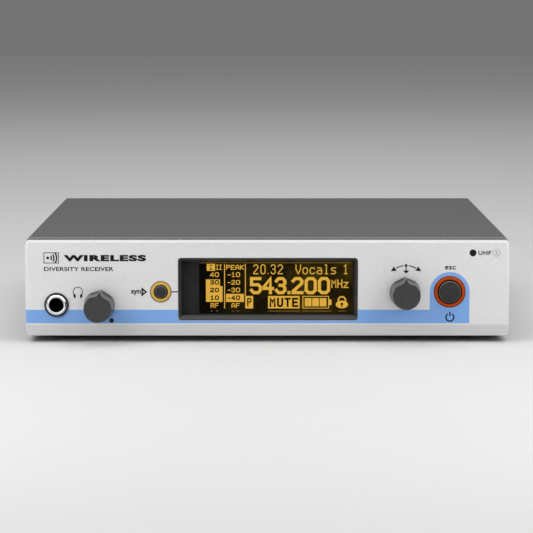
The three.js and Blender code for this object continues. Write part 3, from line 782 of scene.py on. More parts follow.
# ------------------------------------------------------------------ cover and tray
def cover():
    z0 = B + 1.2
    t, ct = 0.8, TOP + 0.6
    x, ro = W2, 1.6

    def outline(e):
        out = []
        xo, zt, r = x - e, ct - e, ro - e
        for i in range(9):
            a = pi / 2 * i / 8
            out.append((xo - r + r * math.cos(a), zt - r + r * math.sin(a)))
        for i in range(9):
            a = pi / 2 + pi / 2 * i / 8
            out.append((-xo + r + r * math.cos(a), zt - r + r * math.sin(a)))
        out.append((-xo, z0 + e))
        xi, zi, r2 = x - t + e, ct - t + e, ro - t + e
        out.append((-xi, z0 + e))
        for i in range(9):
            a = pi - pi / 2 * i / 8
            out.append((-xi + r2 + r2 * math.cos(a), zi - r2 + r2 * math.sin(a)))
        for i in range(9):
            a = pi / 2 - pi / 2 * i / 8
            out.append((xi - r2 + r2 * math.cos(a), zi - r2 + r2 * math.sin(a)))
        out.append((xi, z0 + e))
        out.append((xo, z0 + e))
        return out

    part = plate(outline, PY1 + 0.35, REAR, 0.3, 4)
    m = len(outline(0))
    # the front rim fillet takes the lighter grey, a painted highlight along the cover's front edge
    s = Solid().add(part, [1] * (4 * m) + [0] * (len(part[1]) - 4 * m))
    me = to_mesh("cover", s, [PAINT, PAINT_HIGHLIGHT])
    k = Solid()
    for side in (-1, 1):
        for y in (-68, -43):
            k.add(
                loft(
                    [
                        [(side * xx, y + rr * math.cos(2 * pi * i / 64), B + 21.5 + rr * math.sin(2 * pi * i / 64)) for i in range(64)]
                        for xx, rr in ((W2 + 0.5, 4.75), (W2 - 0.1, 4.42), (W2 - 1.5, 4.3))
                    ],
                    caps=(True, True),
                )
            )
    me = cut(me, k, "cover")
    dress(link("cover", me), nodes="top_cover", slot="grey_paint")
    for side, nm in ((-1, "left"), (1, "right")):
        tx = side * 60
        tab = Solid().add(
            plate(lambda e: rrect(tx - 8 + e, tx + 8 - e, TOP - 9 + e, TOP - 0.5 - e, 1.2), SEAT, REAR, 0.15)
        )
        piece("cover_tab_" + nm, tab, PAINT, slot="grey_paint")


cover()


def tidy(node, mat, r=0.15, seg=2):
    """A CAD piece whose shape stays: softened edges and its own material."""
    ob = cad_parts[node]
    ob.data.materials.clear()
    ob.data.materials.append(mat)
    w = ob.modifiers.new("weld", "WELD")
    w.merge_threshold = 2e-6
    if r:
        b = ob.modifiers.new("edges", "BEVEL")
        b.width = r * MM
        b.segments = seg
        b.limit_method = "ANGLE"
        b.angle_limit = math.radians(38)
        b.use_clamp_overlap = True
        b.harden_normals = False
    n = ob.modifiers.new("normals", "WEIGHTED_NORMAL")
    n.keep_sharp = True
    return ob


for node, mat, r in (
    ("chassis_tray", PAINT, 0.12),
    ("display_module", UNLIT, 0.2),
    ("headphone_jack_body", BLACK, 0.2),
    ("headphone_board", GREEN, 0.1),
    ("front_board", GREEN, 0.1),
    ("main_board", GREEN, 0.1),
    ("ribbon_cable", GREY, 0.1),
    ("rf_shield_a", ZINC, 0.2),
    ("rf_shield_b", ZINC, 0.2),
    ("volume_pot_body", ZINC, 0.2),
    ("volume_pot_shaft", ZINC, 0.2),
    ("encoder_body", BLACK, 0.2),
    ("encoder_shaft", ZINC, 0.2),
    ("encoder_plunger", BLACK, 0.15),
    ("sync_switch", BLACK, 0.15),
    ("esc_switch", BLACK, 0.15),
    ("sync_plunger", REDP, 0.1),
    ("esc_plunger", REDP, 0.1),
    ("board_standoff_1", ZINC, 0.15),
    ("board_standoff_2", ZINC, 0.15),
    ("board_standoff_3", ZINC, 0.15),
    ("board_standoff_4", ZINC, 0.15),
):
    tidy(node, mat, r)


# ------------------------------------------------------------------ feet and screws
def feet():
    for nm in ("front_left", "front_right", "rear_left", "rear_right"):
        lo, hi = span("foot_" + nm)
        c = ((lo[0] + hi[0]) / 2, (lo[1] + hi[1]) / 2)
        z0, z1 = lo[2], hi[2]
        prof = bezier_corners(
            [(0, z1), (6.5, z1), (6.1, z0), (3.2, z0), (2.6, z0 + 0.9), (0, z0 + 0.9)], [0, 0.25, 0.35, 0.2, 0.2, 0], 4
        )
        piece("rubber_foot_" + nm, Solid().add(lathe(prof, c, 64, axis="z")), RUBBER, nodes="foot_" + nm, slot="foot_rubber")


feet()


def cross_cut(s, depth, arm, w, top, axis):
    """A cross recess, tapering to its floor."""
    loops = []
    for k, t in ((1.0, top + 0.2), (1.0, top), (0.62, top - depth)):
        a, b = arm * k, w
        q = [(-a, -b), (-b, -b), (-b, -a), (b, -a), (b, -b), (a, -b), (a, b), (b, b), (b, a), (-b, a), (-b, b), (-a, b)]
        loops.append([{"y": (u, t, v), "x": (t, u, v)}[axis] for u, v in q])
    return s.add(loft(loops, caps=(True, True)))


def screws():
    # countersunk, along +X, head outermost at x = 0
    prof = bezier_corners([(0, 0), (3.95, 0), (3.95, 0.25), (1.9, 2.4), (1.9, 5.4), (0, 5.4)], [0, 0.18, 0.1, 0.2, 0.2, 0], 3)
    me = to_mesh("csk", Solid().add(lathe([(r, -t) for r, t in prof], (0, 0), 64, axis="x")), [ZINC])
    me = cut(me, cross_cut(Solid(), 1.5, 2.1, 0.55, 0.0, "x"), "csk")
    for side, nm in ((-1, "left"), (1, "right")):
        for end in ("front", "rear"):
            node = f"side_screw_{nm}_{end}"
            lo, hi = span(node)
            m = me.copy()
            m.transform(Matrix.Translation((side * W2 * MM, (lo[1] + hi[1]) / 2 * MM, (lo[2] + hi[2]) / 2 * MM)) @ Matrix.Rotation(0 if side > 0 else pi, 4, "Z"))
            dress(link("csk_screw_" + nm + "_" + end, m), nodes=node, slot="zinc_steel")
    prof = bezier_corners([(0, -6), (1.4, -6), (1.4, 0), (2.8, 0), (2.8, 1.1), (1.9, 1.85), (0, 2.0)], [0, 0.1, 0, 0.15, 0.5, 0.6, 0], 4)
    me = to_mesh("pan", Solid().add(lathe(prof, (0, 0), 64)), [ZINC])
    me = cut(me, cross_cut(Solid(), 1.2, 1.5, 0.42, 2.0, "y"), "pan")
    for side, nm in ((-1, "left"), (1, "right")):
        node = "tab_screw_" + nm
        lo, hi = span(node)
        m = me.copy()
        m.transform(Matrix.Translation(((lo[0] + hi[0]) / 2 * MM, (hi[1] - 2.0) * MM, (lo[2] + hi[2]) / 2 * MM)))
        dress(link("pan_screw_" + nm, m), nodes=node, slot="zinc_steel")


screws()


# ------------------------------------------------------------------ display
def display():
    x0, x1, z0, z1 = WX0, WX1, WZ0, WZ1
    yf = F_LO[1]
    rr = lambda a, b, c, d, r, y: [(x, y, z) for x, z in rrect(x0 + a, x1 - b, z0 + c, z1 - d, r, 7)]
    e = 0.22
    loops = [
        rr(0, 0, 0, 0, 1.0, FACE + 5),
        rr(0, 0, 0, 0, 1.0, yf + e),
        rr(0.07, 0.07, 0.07, 0.07, 0.95, yf + 0.07),
        rr(e, e, e, e, 0.85, yf),
        rr(0.42, 0.42, 0.42, 0.42, 0.7, yf),
        rr(0.5, 0.5, 0.52, 0.5, 0.62, yf + 0.07),
        rr(1.4, 1.4, 2.0, 1.6, 0.3, FACE + 1.62),
        rr(1.42, 1.42, 2.02, 1.62, 0.3, FACE + 1.75),
        rr(1.42, 1.42, 2.02, 1.62, 0.3, FACE + 2.0),
        rr(0.6, 0.6, 1.0, 1.0, 0.3, FACE + 2.0),
        rr(0.6, 0.6, 1.0, 1.0, 0.3, FACE + 5),
    ]
    piece("bezel", Solid().add(loft(loops, ring=True)), BEZEL, nodes="display_frame", slot="bezel_black")
    lo, hi = span("display_window")
    piece(
        "window",
        Solid().add(plate(lambda e: rrect(lo[0] + e, hi[0] - e, lo[2] + e, hi[2] - e, 0.6), lo[1], hi[1], 0.1)),
        WINDOW,
        nodes="display_window",
        slot="window_smoke",
    )
    # printed mask behind the window, open where the display is lit
    my = hi[1] + 0.03
    ox0, ox1, oz0, oz1 = -29.95, 37.45, B + 10.6, B + 33.9
    outer = [(lo[0] + 0.3, lo[2] + 0.3), (hi[0] - 0.3, lo[2] + 0.3), (hi[0] - 0.3, hi[2] - 0.05), (lo[0] + 0.3, hi[2] - 0.05)]
    hole = rrect(ox0, ox1, oz0, oz1, 0.4, 3)
    s = Solid()
    for y in (my, my + 0.12):
        v, f, _ = sheet_faces(outer, [hole], y)
        s.add((v, f))
    s.add(loft([[(x, my, z) for x, z in outer], [(x, my + 0.12, z) for x, z in outer]]))
    s.add(loft([[(x, my, z) for x, z in hole], [(x, my + 0.12, z) for x, z in hole]]))
    piece("window_print", s, MASK, slot="display_black", weighted=False)
    gy = span("display_module")[0][1]
    g = Solid().add(plate(lambda e: rrect(ox0 - 0.6 + e, ox1 + 0.6 - e, oz0 - 0.6 + e, oz1 + 0.6 - e, 0.3), gy - 0.06, gy - 0.005, 0.01, 1))
    piece("display_glass", g, GROUND, slot="display_black", weighted=False)
    return gy


DISPLAY_Y = display()

# Strokes of each sign on a grid 4 wide and 6 high.
SIGNS = {
    "0": [[(0, 1), (1, 0), (3, 0), (4, 1), (4, 5), (3, 6), (1, 6), (0, 5), (0, 1)]],
    "1": [[(0.8, 5), (2, 6), (2, 0)], [(0.8, 0), (3.2, 0)]],
    "2": [[(0, 5), (1, 6), (3, 6), (4, 5), (4, 4), (0, 0.6), (0, 0), (4, 0)]],
    "3": [[(0, 5), (1, 6), (3, 6), (4, 5), (4, 4), (3, 3.1), (4, 2), (4, 1), (3, 0), (1, 0), (0, 1)], [(1.7, 3.1), (3, 3.1)]],
    "4": [[(3, 0), (3, 6), (0, 2.4), (0, 1.8), (4, 1.8)]],
    "5": [[(3.8, 6), (0, 6), (0, 3.4), (3, 3.4), (4, 2.5), (4, 1), (3, 0), (1, 0), (0, 1)]],
    "P": [[(0, 0), (0, 6), (3, 6), (4, 5), (4, 4), (3, 3), (0, 3)]],
    "E": [[(4, 0), (0, 0), (0, 6), (4, 6)], [(0, 3), (3.2, 3)]],
    "A": [[(0, 0), (0, 4.4), (1.5, 6), (2.5, 6), (4, 4.4), (4, 0)], [(0, 2.2), (4, 2.2)]],
    "K": [[(0, 0), (0, 6)], [(4, 6), (0.6, 3)], [(0.6, 3), (4, 0)]],
    "R": [[(0, 0), (0, 6), (3, 6), (4, 5), (4, 4), (3, 3), (0, 3)], [(2, 3), (4, 0)]],
    "F": [[(0, 0), (0, 6), (4, 6)], [(0, 3), (3.2, 3)]],
    "M": [[(0, 0), (0, 6), (2, 3.2), (4, 6), (4, 0)]],
    "U": [[(0, 6), (0, 1), (1, 0), (3, 0), (4, 1), (4, 6)]],
    "T": [[(0, 6), (4, 6)], [(2, 6), (2, 0)]],
    "H": [[(0, 0), (0, 6)], [(4, 0), (4, 6)], [(0, 3), (4, 3)]],
    "z": [[(0, 4), (4, 4), (0, 0), (4, 0)]],
    "V": [[(0, 6), (0, 3), (2, 0), (4, 3), (4, 6)]],
    "o": [[(0, 1), (1, 0), (3, 0), (4, 1), (4, 3), (3, 4), (1, 4), (0, 3), (0, 1)]],
    "c": [[(4, 3.4), (3, 4), (1, 4), (0, 3), (0, 1), (1, 0), (3, 0), (4, 0.6)]],
    "a": [[(0.6, 4), (3, 4), (4, 3), (4, 0), (1, 0), (0, 0.7), (0, 1.5), (1, 2.2), (4, 2.2)]],
    "l": [[(1, 6), (2, 6), (2, 0)], [(1, 0), (3, 0)]],
    "s": [[(4, 4), (1, 4), (0, 3.2), (1, 2.1), (3, 2.0), (4, 1), (3, 0), (0, 0)]],
    "-": [[(0, 2.6), (2.6, 2.6)]],
    ".": [[(0, 0.1)]],
    "I": [[(0, 0), (2, 0)], [(0, 6), (2, 6)], [(1, 0), (1, 6)]],
}
WIDTHS = {".": 0.01, " ": 2.4, "-": 2.6, "I": 2}


def readout():
    y0, y1 = DISPLAY_Y - 0.11, DISPLAY_Y - 0.055
    yd0, yd1 = DISPLAY_Y - 0.15, DISPLAY_Y - 0.105
    k = 2.2743  # layout units to millimetres: the panel's drawing scale at the display's depth

    def at(u, v):
        return (u / 7 + 170 - 267.3) / k, B + 153.05 - (v / 7 + 240 + 10.5) / k

    on, off, dim = Solid(), Solid(), Solid()

    def bar(u0, u1, v0, v1, to=on, ya=None, yb=None):
        (x0, zt), (x1, zb) = at(u0, v0), at(u1, v1)
        to.add(slabs([(x0, zb), (x1, zb), (x1, zt), (x0, zt)], y0 if ya is None else ya, y1 if yb is None else yb))

    def write(text, u0, u1, v0, v1, w, to=on, gap=5.0):
        ya, yb = (yd0, yd1) if to is off else (y0, y1)
        n = len(text)
        total = sum(WIDTHS.get(c, 4) for c in text)
        sx = (u1 - u0 - n * w - (n - 1) * gap) / total
        sv = (v1 - v0 - w) / 6
        u = u0
        for c in text:
            for line in SIGNS.get(c, []):
                to.add(ribbon([at(u + w / 2 + a * sx, v1 - w / 2 - b * sv) for a, b in line], w / 7 / k, ya, yb))
            u += WIDTHS.get(c, 4) * sx + w + gap

    # receiving channel, meter scales
    bar(258, 316, 165, 214)
    write("I", 276, 299, 171, 207, 5, off)
    write("I", 322, 341, 171, 207, 5)
    write("I", 345, 364, 171, 207, 5)
    write("40", 281, 343, 224, 258, 5.5)
    (ax, az), (bx, bz), (cx, cz), (dx, dz) = at(252, 275), at(350, 322), at(368, 322), at(368, 433)
    on.add(slabs([(ax, dz), (dx, dz), (dx, cz), (bx, bz), (bx, az), (ax, az)], y0, y1))
    write("30", 281, 343, 279, 312, 7.5, off)
    write("20", 281, 343, 333, 366, 7.5, off)
    write("10", 281, 343, 388, 421, 7.5, off)
    write("RF", 284, 340, 442, 476, 5.5)
    bar(379.5, 385, 166, 480)
    write("PEAK", 393, 518, 172, 207, 6)
    write("-10", 404, 490, 224, 258, 5.5)
    write("-20", 404, 490, 279, 312, 5.5)
    write("-30", 404, 490, 333, 366, 5.5)
    bar(392, 518, 377, 434)
    write("-40", 404, 490, 388, 421, 7.5, off)
    write("AF", 430, 488, 442, 476, 5.5)
    bar(525, 530.5, 166, 391)
    # centre block
    write("20.32", 583, 790, 169, 238, 6.6, gap=14)
    write("Vocals 1", 878, 1248, 169, 238, 6.6, gap=11)
    for c, u0, u1 in (("5", 560, 643), ("4", 647, 728), ("3", 734, 815), ("2", 851, 934), ("0", 942, 1027), ("0", 1035, 1120)):
        write(c, u0, u1, 258, 379, 21.5)
    bar(822, 843, 357, 379)
    write("MHz", 1129, 1248, 275, 335, 7.5, gap=7)
    bar(527, 582, 392, 480)
    write("P", 540, 571, 406, 464, 9, off)
    bar(686, 907, 392, 480)
    write("MUTE", 696, 898, 404, 470, 14, off, gap=9)
    # battery: case, nub and three cells
    for q in ((927, 1113, 392, 397), (927, 1113, 475, 480), (927, 933, 392, 480), (1107, 1113, 392, 480), (1113, 1130, 416, 456)):
        bar(*q)
    for i in range(3):
        bar(943 + i * 52.5, 990 + i * 52.5, 407, 465)
    # padlock
    (lx, lz) = at(1203, 447)
    u = 1 / 7 / k
    on.add(slabs([(lx + 43 * u * math.cos(2 * pi * i / 36), lz - 5 * u + 27 * u * math.sin(2 * pi * i / 36)) for i in range(36)], y0, y1))
    on.add(ribbon(arc_pts(lx, lz + 25 * u, 25 * u, -20, 200, 20), 10 * u, y0, y1))
    off.add(disc(lx, lz - 1 * u, 9 * u, 20, yd0, yd1))
    off.add(ribbon([(lx, lz - 3 * u), (lx, lz - 17 * u)], 9 * u, yd0, yd1))
    # light caught by the glass's lower and upper edges
    for q in ((687, 906), (927, 1130), (1176, 1230), (285, 298), (322, 336), (432, 446), (466, 482)):
        bar(q[0], q[1], 497, 500.5, dim)
    bar(207, 1266, 156, 159, dim)
    piece("readout", on, LIT, slot="amber_lens", weighted=False)
    piece("readout_reversed", off, UNLIT, slot="display_black", weighted=False)
    piece("readout_edge_light", dim, LIT_DIM, slot="amber_lens", weighted=False)


readout()


# ------------------------------------------------------------------ knobs
BASE_R = [(0, 7.15), (1.5, 7.1), (4, 6.98), (8, 6.87), (17, 6.65), (26, 6.56), (36, 6.74), (44, 6.88), (180, 6.88)]
FACE_R = [(0, 7.62), (1.2, 7.45), (3, 6.98), (6.7, 6.25), (10.6, 5.88), (17.5, 5.62), (23, 5.57), (29, 5.6), (38, 5.82), (44, 6.0), (180, 6.0)]


def table(rows, a):
    for (a0, r0), (a1, r1) in zip(rows, rows[1:]):
        if a <= a1:
            return r0 + (r1 - r0) * (a - a0) / (a1 - a0)
    return rows[-1][1]


def knob(name, axis, turn, node, body):
    lo, hi = span(node)
    y0, y1 = hi[1], lo[1]  # base and face
    length = y0 - y1
    angles = [0, 0.6, 1.2, 2, 3, 4.2, 5.4, 6.7, 8, 9.3, 10.6, 12.5, 15, 17.5, 20, 23, 26, 29, 32, 35, 38, 40, 42, 44, 46]
    angles += [46 + 134 * i / 54 for i in range(1, 55)]
    angles = angles + [-a for a in angles[-2:0:-1]]

    def loop(y, e, k=None, flat=None):
        t = (y0 - y) / length
        out = []
        for a in angles:
            k = t ** (0.62 - 0.17 * max(0.0, min(1.0, (45 - abs(a)) / 10)))
            r = table(BASE_R, abs(a)) * (1 - k) + table(FACE_R, abs(a)) * k
            if flat is not None:
                r = flat
            w = math.radians(a + turn)
            out.append((axis[0] + (r - e) * math.sin(w), y, axis[1] + (r - e) * math.cos(w)))
        return out

    f = 0.32
    loops = [loop(y0 - 5, 0, flat=3.3), loop(y0, 0, flat=3.3), loop(y0, 0.25), loop(y0 - 0.08, 0.08), loop(y0 - 0.25, 0)]
    for i in range(1, 12):
        loops.append(loop(y0 - 0.25 - (length - 0.25 - f) * i / 11, 0))
    for i in range(1, 6):
        a = pi / 2 * i / 5
        loops.append(loop(y1 + f * (1 - math.sin(a)), f * (1 - math.cos(a))))
    loops.append(loop(y1, f + 0.35))
    loops.append(loop(y1, 2.5))
    part = loft(loops, caps=(True, True))
    n = len(angles)
    mats = [0] * len(part[1])
    # the scoops beside the pointer, in the rear part of the wall near the base, take the darker charcoal: painted shade
    for j in range(4, 8):
        for i, a in enumerate(angles):
            if 5 < abs(a) < 43:
                mats[j * n + i] = 1
    s = Solid().add(part, mats)
    return piece(name, s, [KNOB, KNOB_SCOOP_SHADE], body=body, nodes=node, slot="knob_charcoal", sharp=24)


knob("knob_volume", VOL, VOL_TURN, "volume_knob", "volume")
knob("knob_jog", JOG, JOG_TURN, "jog_dial", "jog_turn")


# ------------------------------------------------------------------ push buttons with light rings, unlit; the rings' faint glow is painted
def push_button(name, c, ri, ro, rc, body, bright, dark):
    lo, hi = span(name + "_light_ring")
    yf = lo[1]
    ri, ro, rc = {"sync": (3.05, 4.66, 2.72), "esc": (5.3, 6.98, 4.88)}[name]
    ring = bezier_corners(
        [
            (ri, FACE + 5.6),
            (ri, yf),
            (ro, yf),
            (ro, FACE + 2.7),
            (ro + 1.2, FACE + 2.7),
            (ro + 1.2, FACE + 5.6),
        ],
        [0.1, 0.3, 0.85, 0.05, 0.1, 0.1],
        5,
        closed=True,
    )
    part = lathe(ring, c, 112, ring=True)
    n = 112
    mats = []
    k = len(ring)
    for j in range(k):
        (ra, ya), (rb, yb) = ring[j], ring[(j + 1) % k]
        # faces behind the ring's front take the darker material, painted shade on the ring's walls
        edge = (ya + yb) / 2 > yf + 0.07
        mats += [1 if edge else 0] * n
    piece(name + "_halo", Solid().add(part, mats), [bright, dark], nodes=name + "_light_ring", slot="amber_lens" if name == "sync" else "red_lens")
    lo, hi = span(name + "_button")
    y0, y1 = lo[1], hi[1]
    stem = 1.6 if name == "sync" else 2.2
    ch = 0.4 if name == "sync" else 0.42
    dish = 0.1 if name == "sync" else 0.16
    cap = bezier_corners(
        [
            (0, y0 + dish),
            (rc * 0.5, y0 + dish * 0.75),
            (rc - ch, y0 + 0.02),
            (rc - ch + 0.14, y0),
            (rc - 0.04, y0 + ch - 0.1),
            (rc, y0 + ch + 0.1),
            (rc, FACE + 5.9),
            (ri + 0.7, FACE + 5.9),
            (ri + 0.7, FACE + 7.3),
            (stem, FACE + 7.3),
            (stem, y1),
            (0, y1),
        ],
        [0, 0.8, 0.06, 0.08, 0.06, 0.14, 0, 0.1, 0.1, 0.1, 0.1, 0],
        4,
    )
    # the cap's chamfer ring takes the lighter grey, a painted highlight along the chamfer
    rim = [1 if rc - ch + 0.1 < (p[0] + q[0]) / 2 < rc - 0.02 and (p[1] + q[1]) / 2 < y0 + ch else 0 for p, q in zip(cap, cap[1:])]
    piece(name + "_cap", Solid().add(lathe(cap, c, 112), [k for k in rim for _ in range(112)]), [CAP, CAP_HIGHLIGHT], body=body, nodes=name + "_button", slot="knob_charcoal")


push_button("sync", SYNC, 3.25, 4.6, 2.9, "sync", AMBER, AMBER_SHADE)
push_button("esc", ESC, 5.5, 6.95, 5.15, "esc", RED, RED_SHADE)


# ------------------------------------------------------------------ headphone socket
def phones():
    c = PHONES
    y = FACE
    collar = bezier_corners(
        [(4.72, y + 2.7), (4.72, y - 0.75), (5.35, y - 0.6), (5.35, y - 0.05), (4.95, y + 0.1), (4.95, y + 2.7)],
        [0.05, 0.12, 0.22, 0.1, 0.05, 0.05],
        5,
        closed=True,
    )
    piece("collar", Solid().add(lathe(collar, c, 112, ring=True)), BLACK, nodes="headphone_collar", slot="black_plastic")
    bush = bezier_corners(
        [(3.2, -79.9), (3.2, y - 1.35), (3.4, y - 1.55), (3.85, y - 1.55), (4.5, y - 1.05), (4.55, y - 0.5), (4.55, y + 0.2), (4.45, y + 0.4), (4.45, -79.9)],
        [0.05, 0.1, 0.12, 0.35, 0.3, 0.2, 0, 0, 0.05],
        6,
        closed=True,
    )
    piece("bushing", Solid().add(lathe(bush, c, 128, ring=True)), CHROME, nodes="headphone_bushing", slot="chrome_metal")


phones()


# ------------------------------------------------------------------ rear sockets
def rear():
    y1 = span("antenna_socket_a")[1][1]
    for k in ("a", "b"):
        c = axis_of("antenna_insulator_" + k)
        shell = bezier_corners(
            [
                (2.7, 84),
                (7, 84),
                (7, 88.7),
                (4.7, 88.7),
                (4.7, SEAT + 3.4),
                (4.35, SEAT + 3.8),
                (4.35, y1 - 1.6),
                (4.7, y1 - 1.2),
                (4.7, y1 - 0.35),
                (4.4, y1),
                (4.1, y1),
                (4.1, y1 - 5.5),
                (2.7, y1 - 5.5),
            ],
            [0.05, 0.1, 0.1, 0.05, 0.1, 0.1, 0.1, 0.1, 0.15, 0.1, 0.1, 0.1, 0.05],
            3,
            closed=True,
        )
        s = Solid().add(lathe(shell, c, 96, ring=True))
        for side in (-1, 1):
            lug = bezier_corners([(0, 4.2), (1.0, 4.2), (1.0, 5.5), (0, 5.5)], [0, 0, 0.2, 0], 4)
            part = lathe([(r, side * t) for r, t in lug], (0, 0), 24, axis="z")
            s.add(([(x + c[0], y + y1 - 2.6, z + c[1]) for x, y, z in part[0]], part[1]))
        piece("bayonet_" + k, s, CHROME, nodes="antenna_socket_" + k, slot="chrome_metal")
        n_lo, n_hi = span("antenna_nut_" + k)

        def nut(e):
            out = []
            for i in range(6):
                a, b = 2 * pi * i / 6 + pi / 2, 2 * pi * (i + 1) / 6 + pi / 2
                for t in (0.04, 0.5, 0.96):
                    p = [(7.5 - e) * (math.cos(a) * (1 - t) + math.cos(b) * t), (7.5 - e) * (math.sin(a) * (1 - t) + math.sin(b) * t)]
                    out.append((c[0] + p[0], c[1] + p[1]))
            return out

        m = len(nut(0))
        hole = [(c[0] + 5.0 * math.cos(2 * pi * i / m + pi / 2 + 0.04), c[1] + 5.0 * math.sin(2 * pi * i / m + pi / 2 + 0.04)) for i in range(m)]
        ls = [[(x, n_lo[1], z) for x, z in hole], [(x, n_lo[1], z) for x, z in nut(0.15)], [(x, n_lo[1] + 0.15, z) for x, z in nut(0)]]
        ls += [[(x, n_hi[1] - 0.3, z) for x, z in nut(0)], [(x, n_hi[1], z) for x, z in nut(0.5)], [(x, n_hi[1], z) for x, z in hole]]
        piece("hex_nut_" + k, Solid().add(loft(ls, ring=True)), ZINC, nodes="antenna_nut_" + k, slot="zinc_steel")
        ins = bezier_corners([(0.75, 84.5), (2.4, 84.5), (2.4, y1 - 1), (1.5, y1 - 0.7), (0.95, y1 - 1.0), (0.75, y1 - 1.4)], [0.05, 0.1, 0.15, 0.1, 0.05, 0.05], 3, closed=True)
        piece("dielectric_" + k, Solid().add(lathe(ins, c, 64, ring=True)), PTFE, nodes="antenna_insulator_" + k, slot="ptfe_white")
        con = bezier_corners([(0, 84.5), (0.68, 84.5), (0.68, y1 - 1.6), (0.45, y1 - 1.5), (0.45, y1 - 4), (0, y1 - 4)], [0, 0.05, 0.1, 0.05, 0.05, 0], 3)
        piece("centre_contact_" + k, Solid().add(lathe(con, c, 40)), GOLD, slot="zinc_steel")

    # three-pin output
    lo, hi = span("xlr_housing")
    c = ((lo[0] + hi[0]) / 2, (lo[2] + hi[2]) / 2)
    yb, yf = SEAT, SEAT + 2
    m = 96
    ang = [2 * pi * i / m for i in range(m)]
    screw = [((c[0] - 9.5, c[1] + 12), 1.65), ((c[0] + 9.5, c[1] - 12), 1.65)]
    s = Solid()
    outl = lambda e: rrect(c[0] - 13 + e, c[0] + 13 - e, c[1] - 15.5 + e, c[1] + 15.5 - e, 2.2 - e, 8)
    holes = [circle(p, r + 0.15, [2 * pi * i / 32 for i in range(32)]) for p, r in screw]
    mouth = circle(c, 8.5, ang)
    v, f, _ = sheet_faces(outl(0.3), holes + [mouth], yf)
    s.add((v, f))
    barrel = circle(c, 11.4, ang)
    v, f, _ = sheet_faces(outl(0), holes + [barrel], yb)
    s.add((v, f))
    s.add(loft([[(x, yf, z) for x, z in outl(0.3)], [(x, yf - 0.1, z) for x, z in outl(0.1)], [(x, yf - 0.3, z) for x, z in outl(0)], [(x, yb, z) for x, z in outl(0)]]))
    for h in holes:
        s.add(loft([[(x, yf, z) for x, z in h], [(x, yb, z) for x, z in h]]))
    prof = [(8.5, yf), (8.2, yf - 0.1), (8.1, yf - 0.4), (8.1, 78.45), (7.9, 78.3), (0, 78.3)]
    s.add(loft([[(c[0] + r * math.cos(a), y, c[1] + r * math.sin(a)) for a in ang] for r, y in prof]))
    prof = [(11.4, yb), (11.4, 72.2), (11.2, 72), (0, 72)]
    s.add(loft([[(c[0] + r * math.cos(a), y, c[1] + r * math.sin(a)) for a in ang] for r, y in prof]))
    # polarising rib
    s.add(cuboid(c[0] - 1.1, c[0] + 1.1, 78.6, yf - 0.8, c[1] + 6.9, c[1] + 8.2, 0.2))
    piece("output_cup", s, BLACK, nodes="xlr_housing", slot="black_plastic")
    for i in (1, 2, 3):
        node = f"xlr_pin_{i}"
        a, b = span(node)
        pc = axis_of(node)
        prof = bezier_corners([(0, a[1]), (1.2, a[1]), (1.2, b[1] - 1.0), (0.6, b[1]), (0, b[1])], [0, 0.1, 0.5, 0.3, 0], 5)
        piece(f"output_pin_{i}", Solid().add(lathe(prof, pc, 40)), ZINC, nodes=node, slot="zinc_steel")
    for j, (p, r) in enumerate(screw):
        prof = bezier_corners([(0, yf + 0.75), (1.6, yf + 0.75), (2.6, yf + 0.05), (1.4, yf - 0.2), (1.4, yb - 2), (0, yb - 2)], [0, 0.5, 0.2, 0.05, 0.1, 0], 4)
        me = to_mesh("s", Solid().add(lathe(prof, p, 48)), [ZINC])
        k = cross_cut(Solid(), 0.8, 1.2, 0.36, yf + 0.75, "y")
        k.v = [(x + p[0], y, z + p[1]) for x, y, z in k.v]
        dress(link(f"output_screw_{j + 1}", cut(me, k, f"output_screw_{j + 1}")), slot="zinc_steel")

    # quarter-inch output
    lo, hi = span("line_out_jack")
    c = ((lo[0] + hi[0]) / 2, (lo[2] + hi[2]) / 2)
    s = Solid()
    s.add(lathe(bezier_corners([(3.25, 62), (3.25, hi[1] - 0.4), (3.6, hi[1]), (5.4, hi[1]), (5.6, hi[1] - 0.3), (5.6, 88.5), (5.6, 62)], [0, 0.2, 0.2, 0.15, 0.15, 0, 0], 4, closed=True), c, 96, ring=True))
    s.add(cuboid(c[0] - 8, c[0] - 5.7, 60, 88.6, c[1] - 7, c[1] + 7, 0.4))
    s.add(cuboid(c[0] + 5.7, c[0] + 8, 60, 88.6, c[1] - 7, c[1] + 7, 0.4))
    s.add(cuboid(c[0] - 7.9, c[0] + 7.9, 60.1, 61.9, c[1] - 6.9, c[1] + 6.9, 0.4))
    piece("line_socket", s, BLACK, nodes="line_out_jack", slot="black_plastic")
    lo, hi = span("line_out_nut")
    prof = bezier_corners([(5.95, lo[1]), (8, lo[1]), (8, hi[1]), (5.95, hi[1])], [0.1, 0.2, 0.6, 0.3], 5, closed=True)
    m = 120
    loops = []
    for r, y in prof:
        loops.append([(c[0] + (r - (0.22 if (i % 10 < 2 and r > 7) else 0)) * math.cos(2 * pi * i / m), y, c[1] + (r - (0.22 if (i % 10 < 2 and r > 7) else 0)) * math.sin(2 * pi * i / m)) for i in range(m)])
    piece("ring_nut", Solid().add(loft(loops, ring=True)), ZINC, nodes="line_out_nut", slot="zinc_steel")

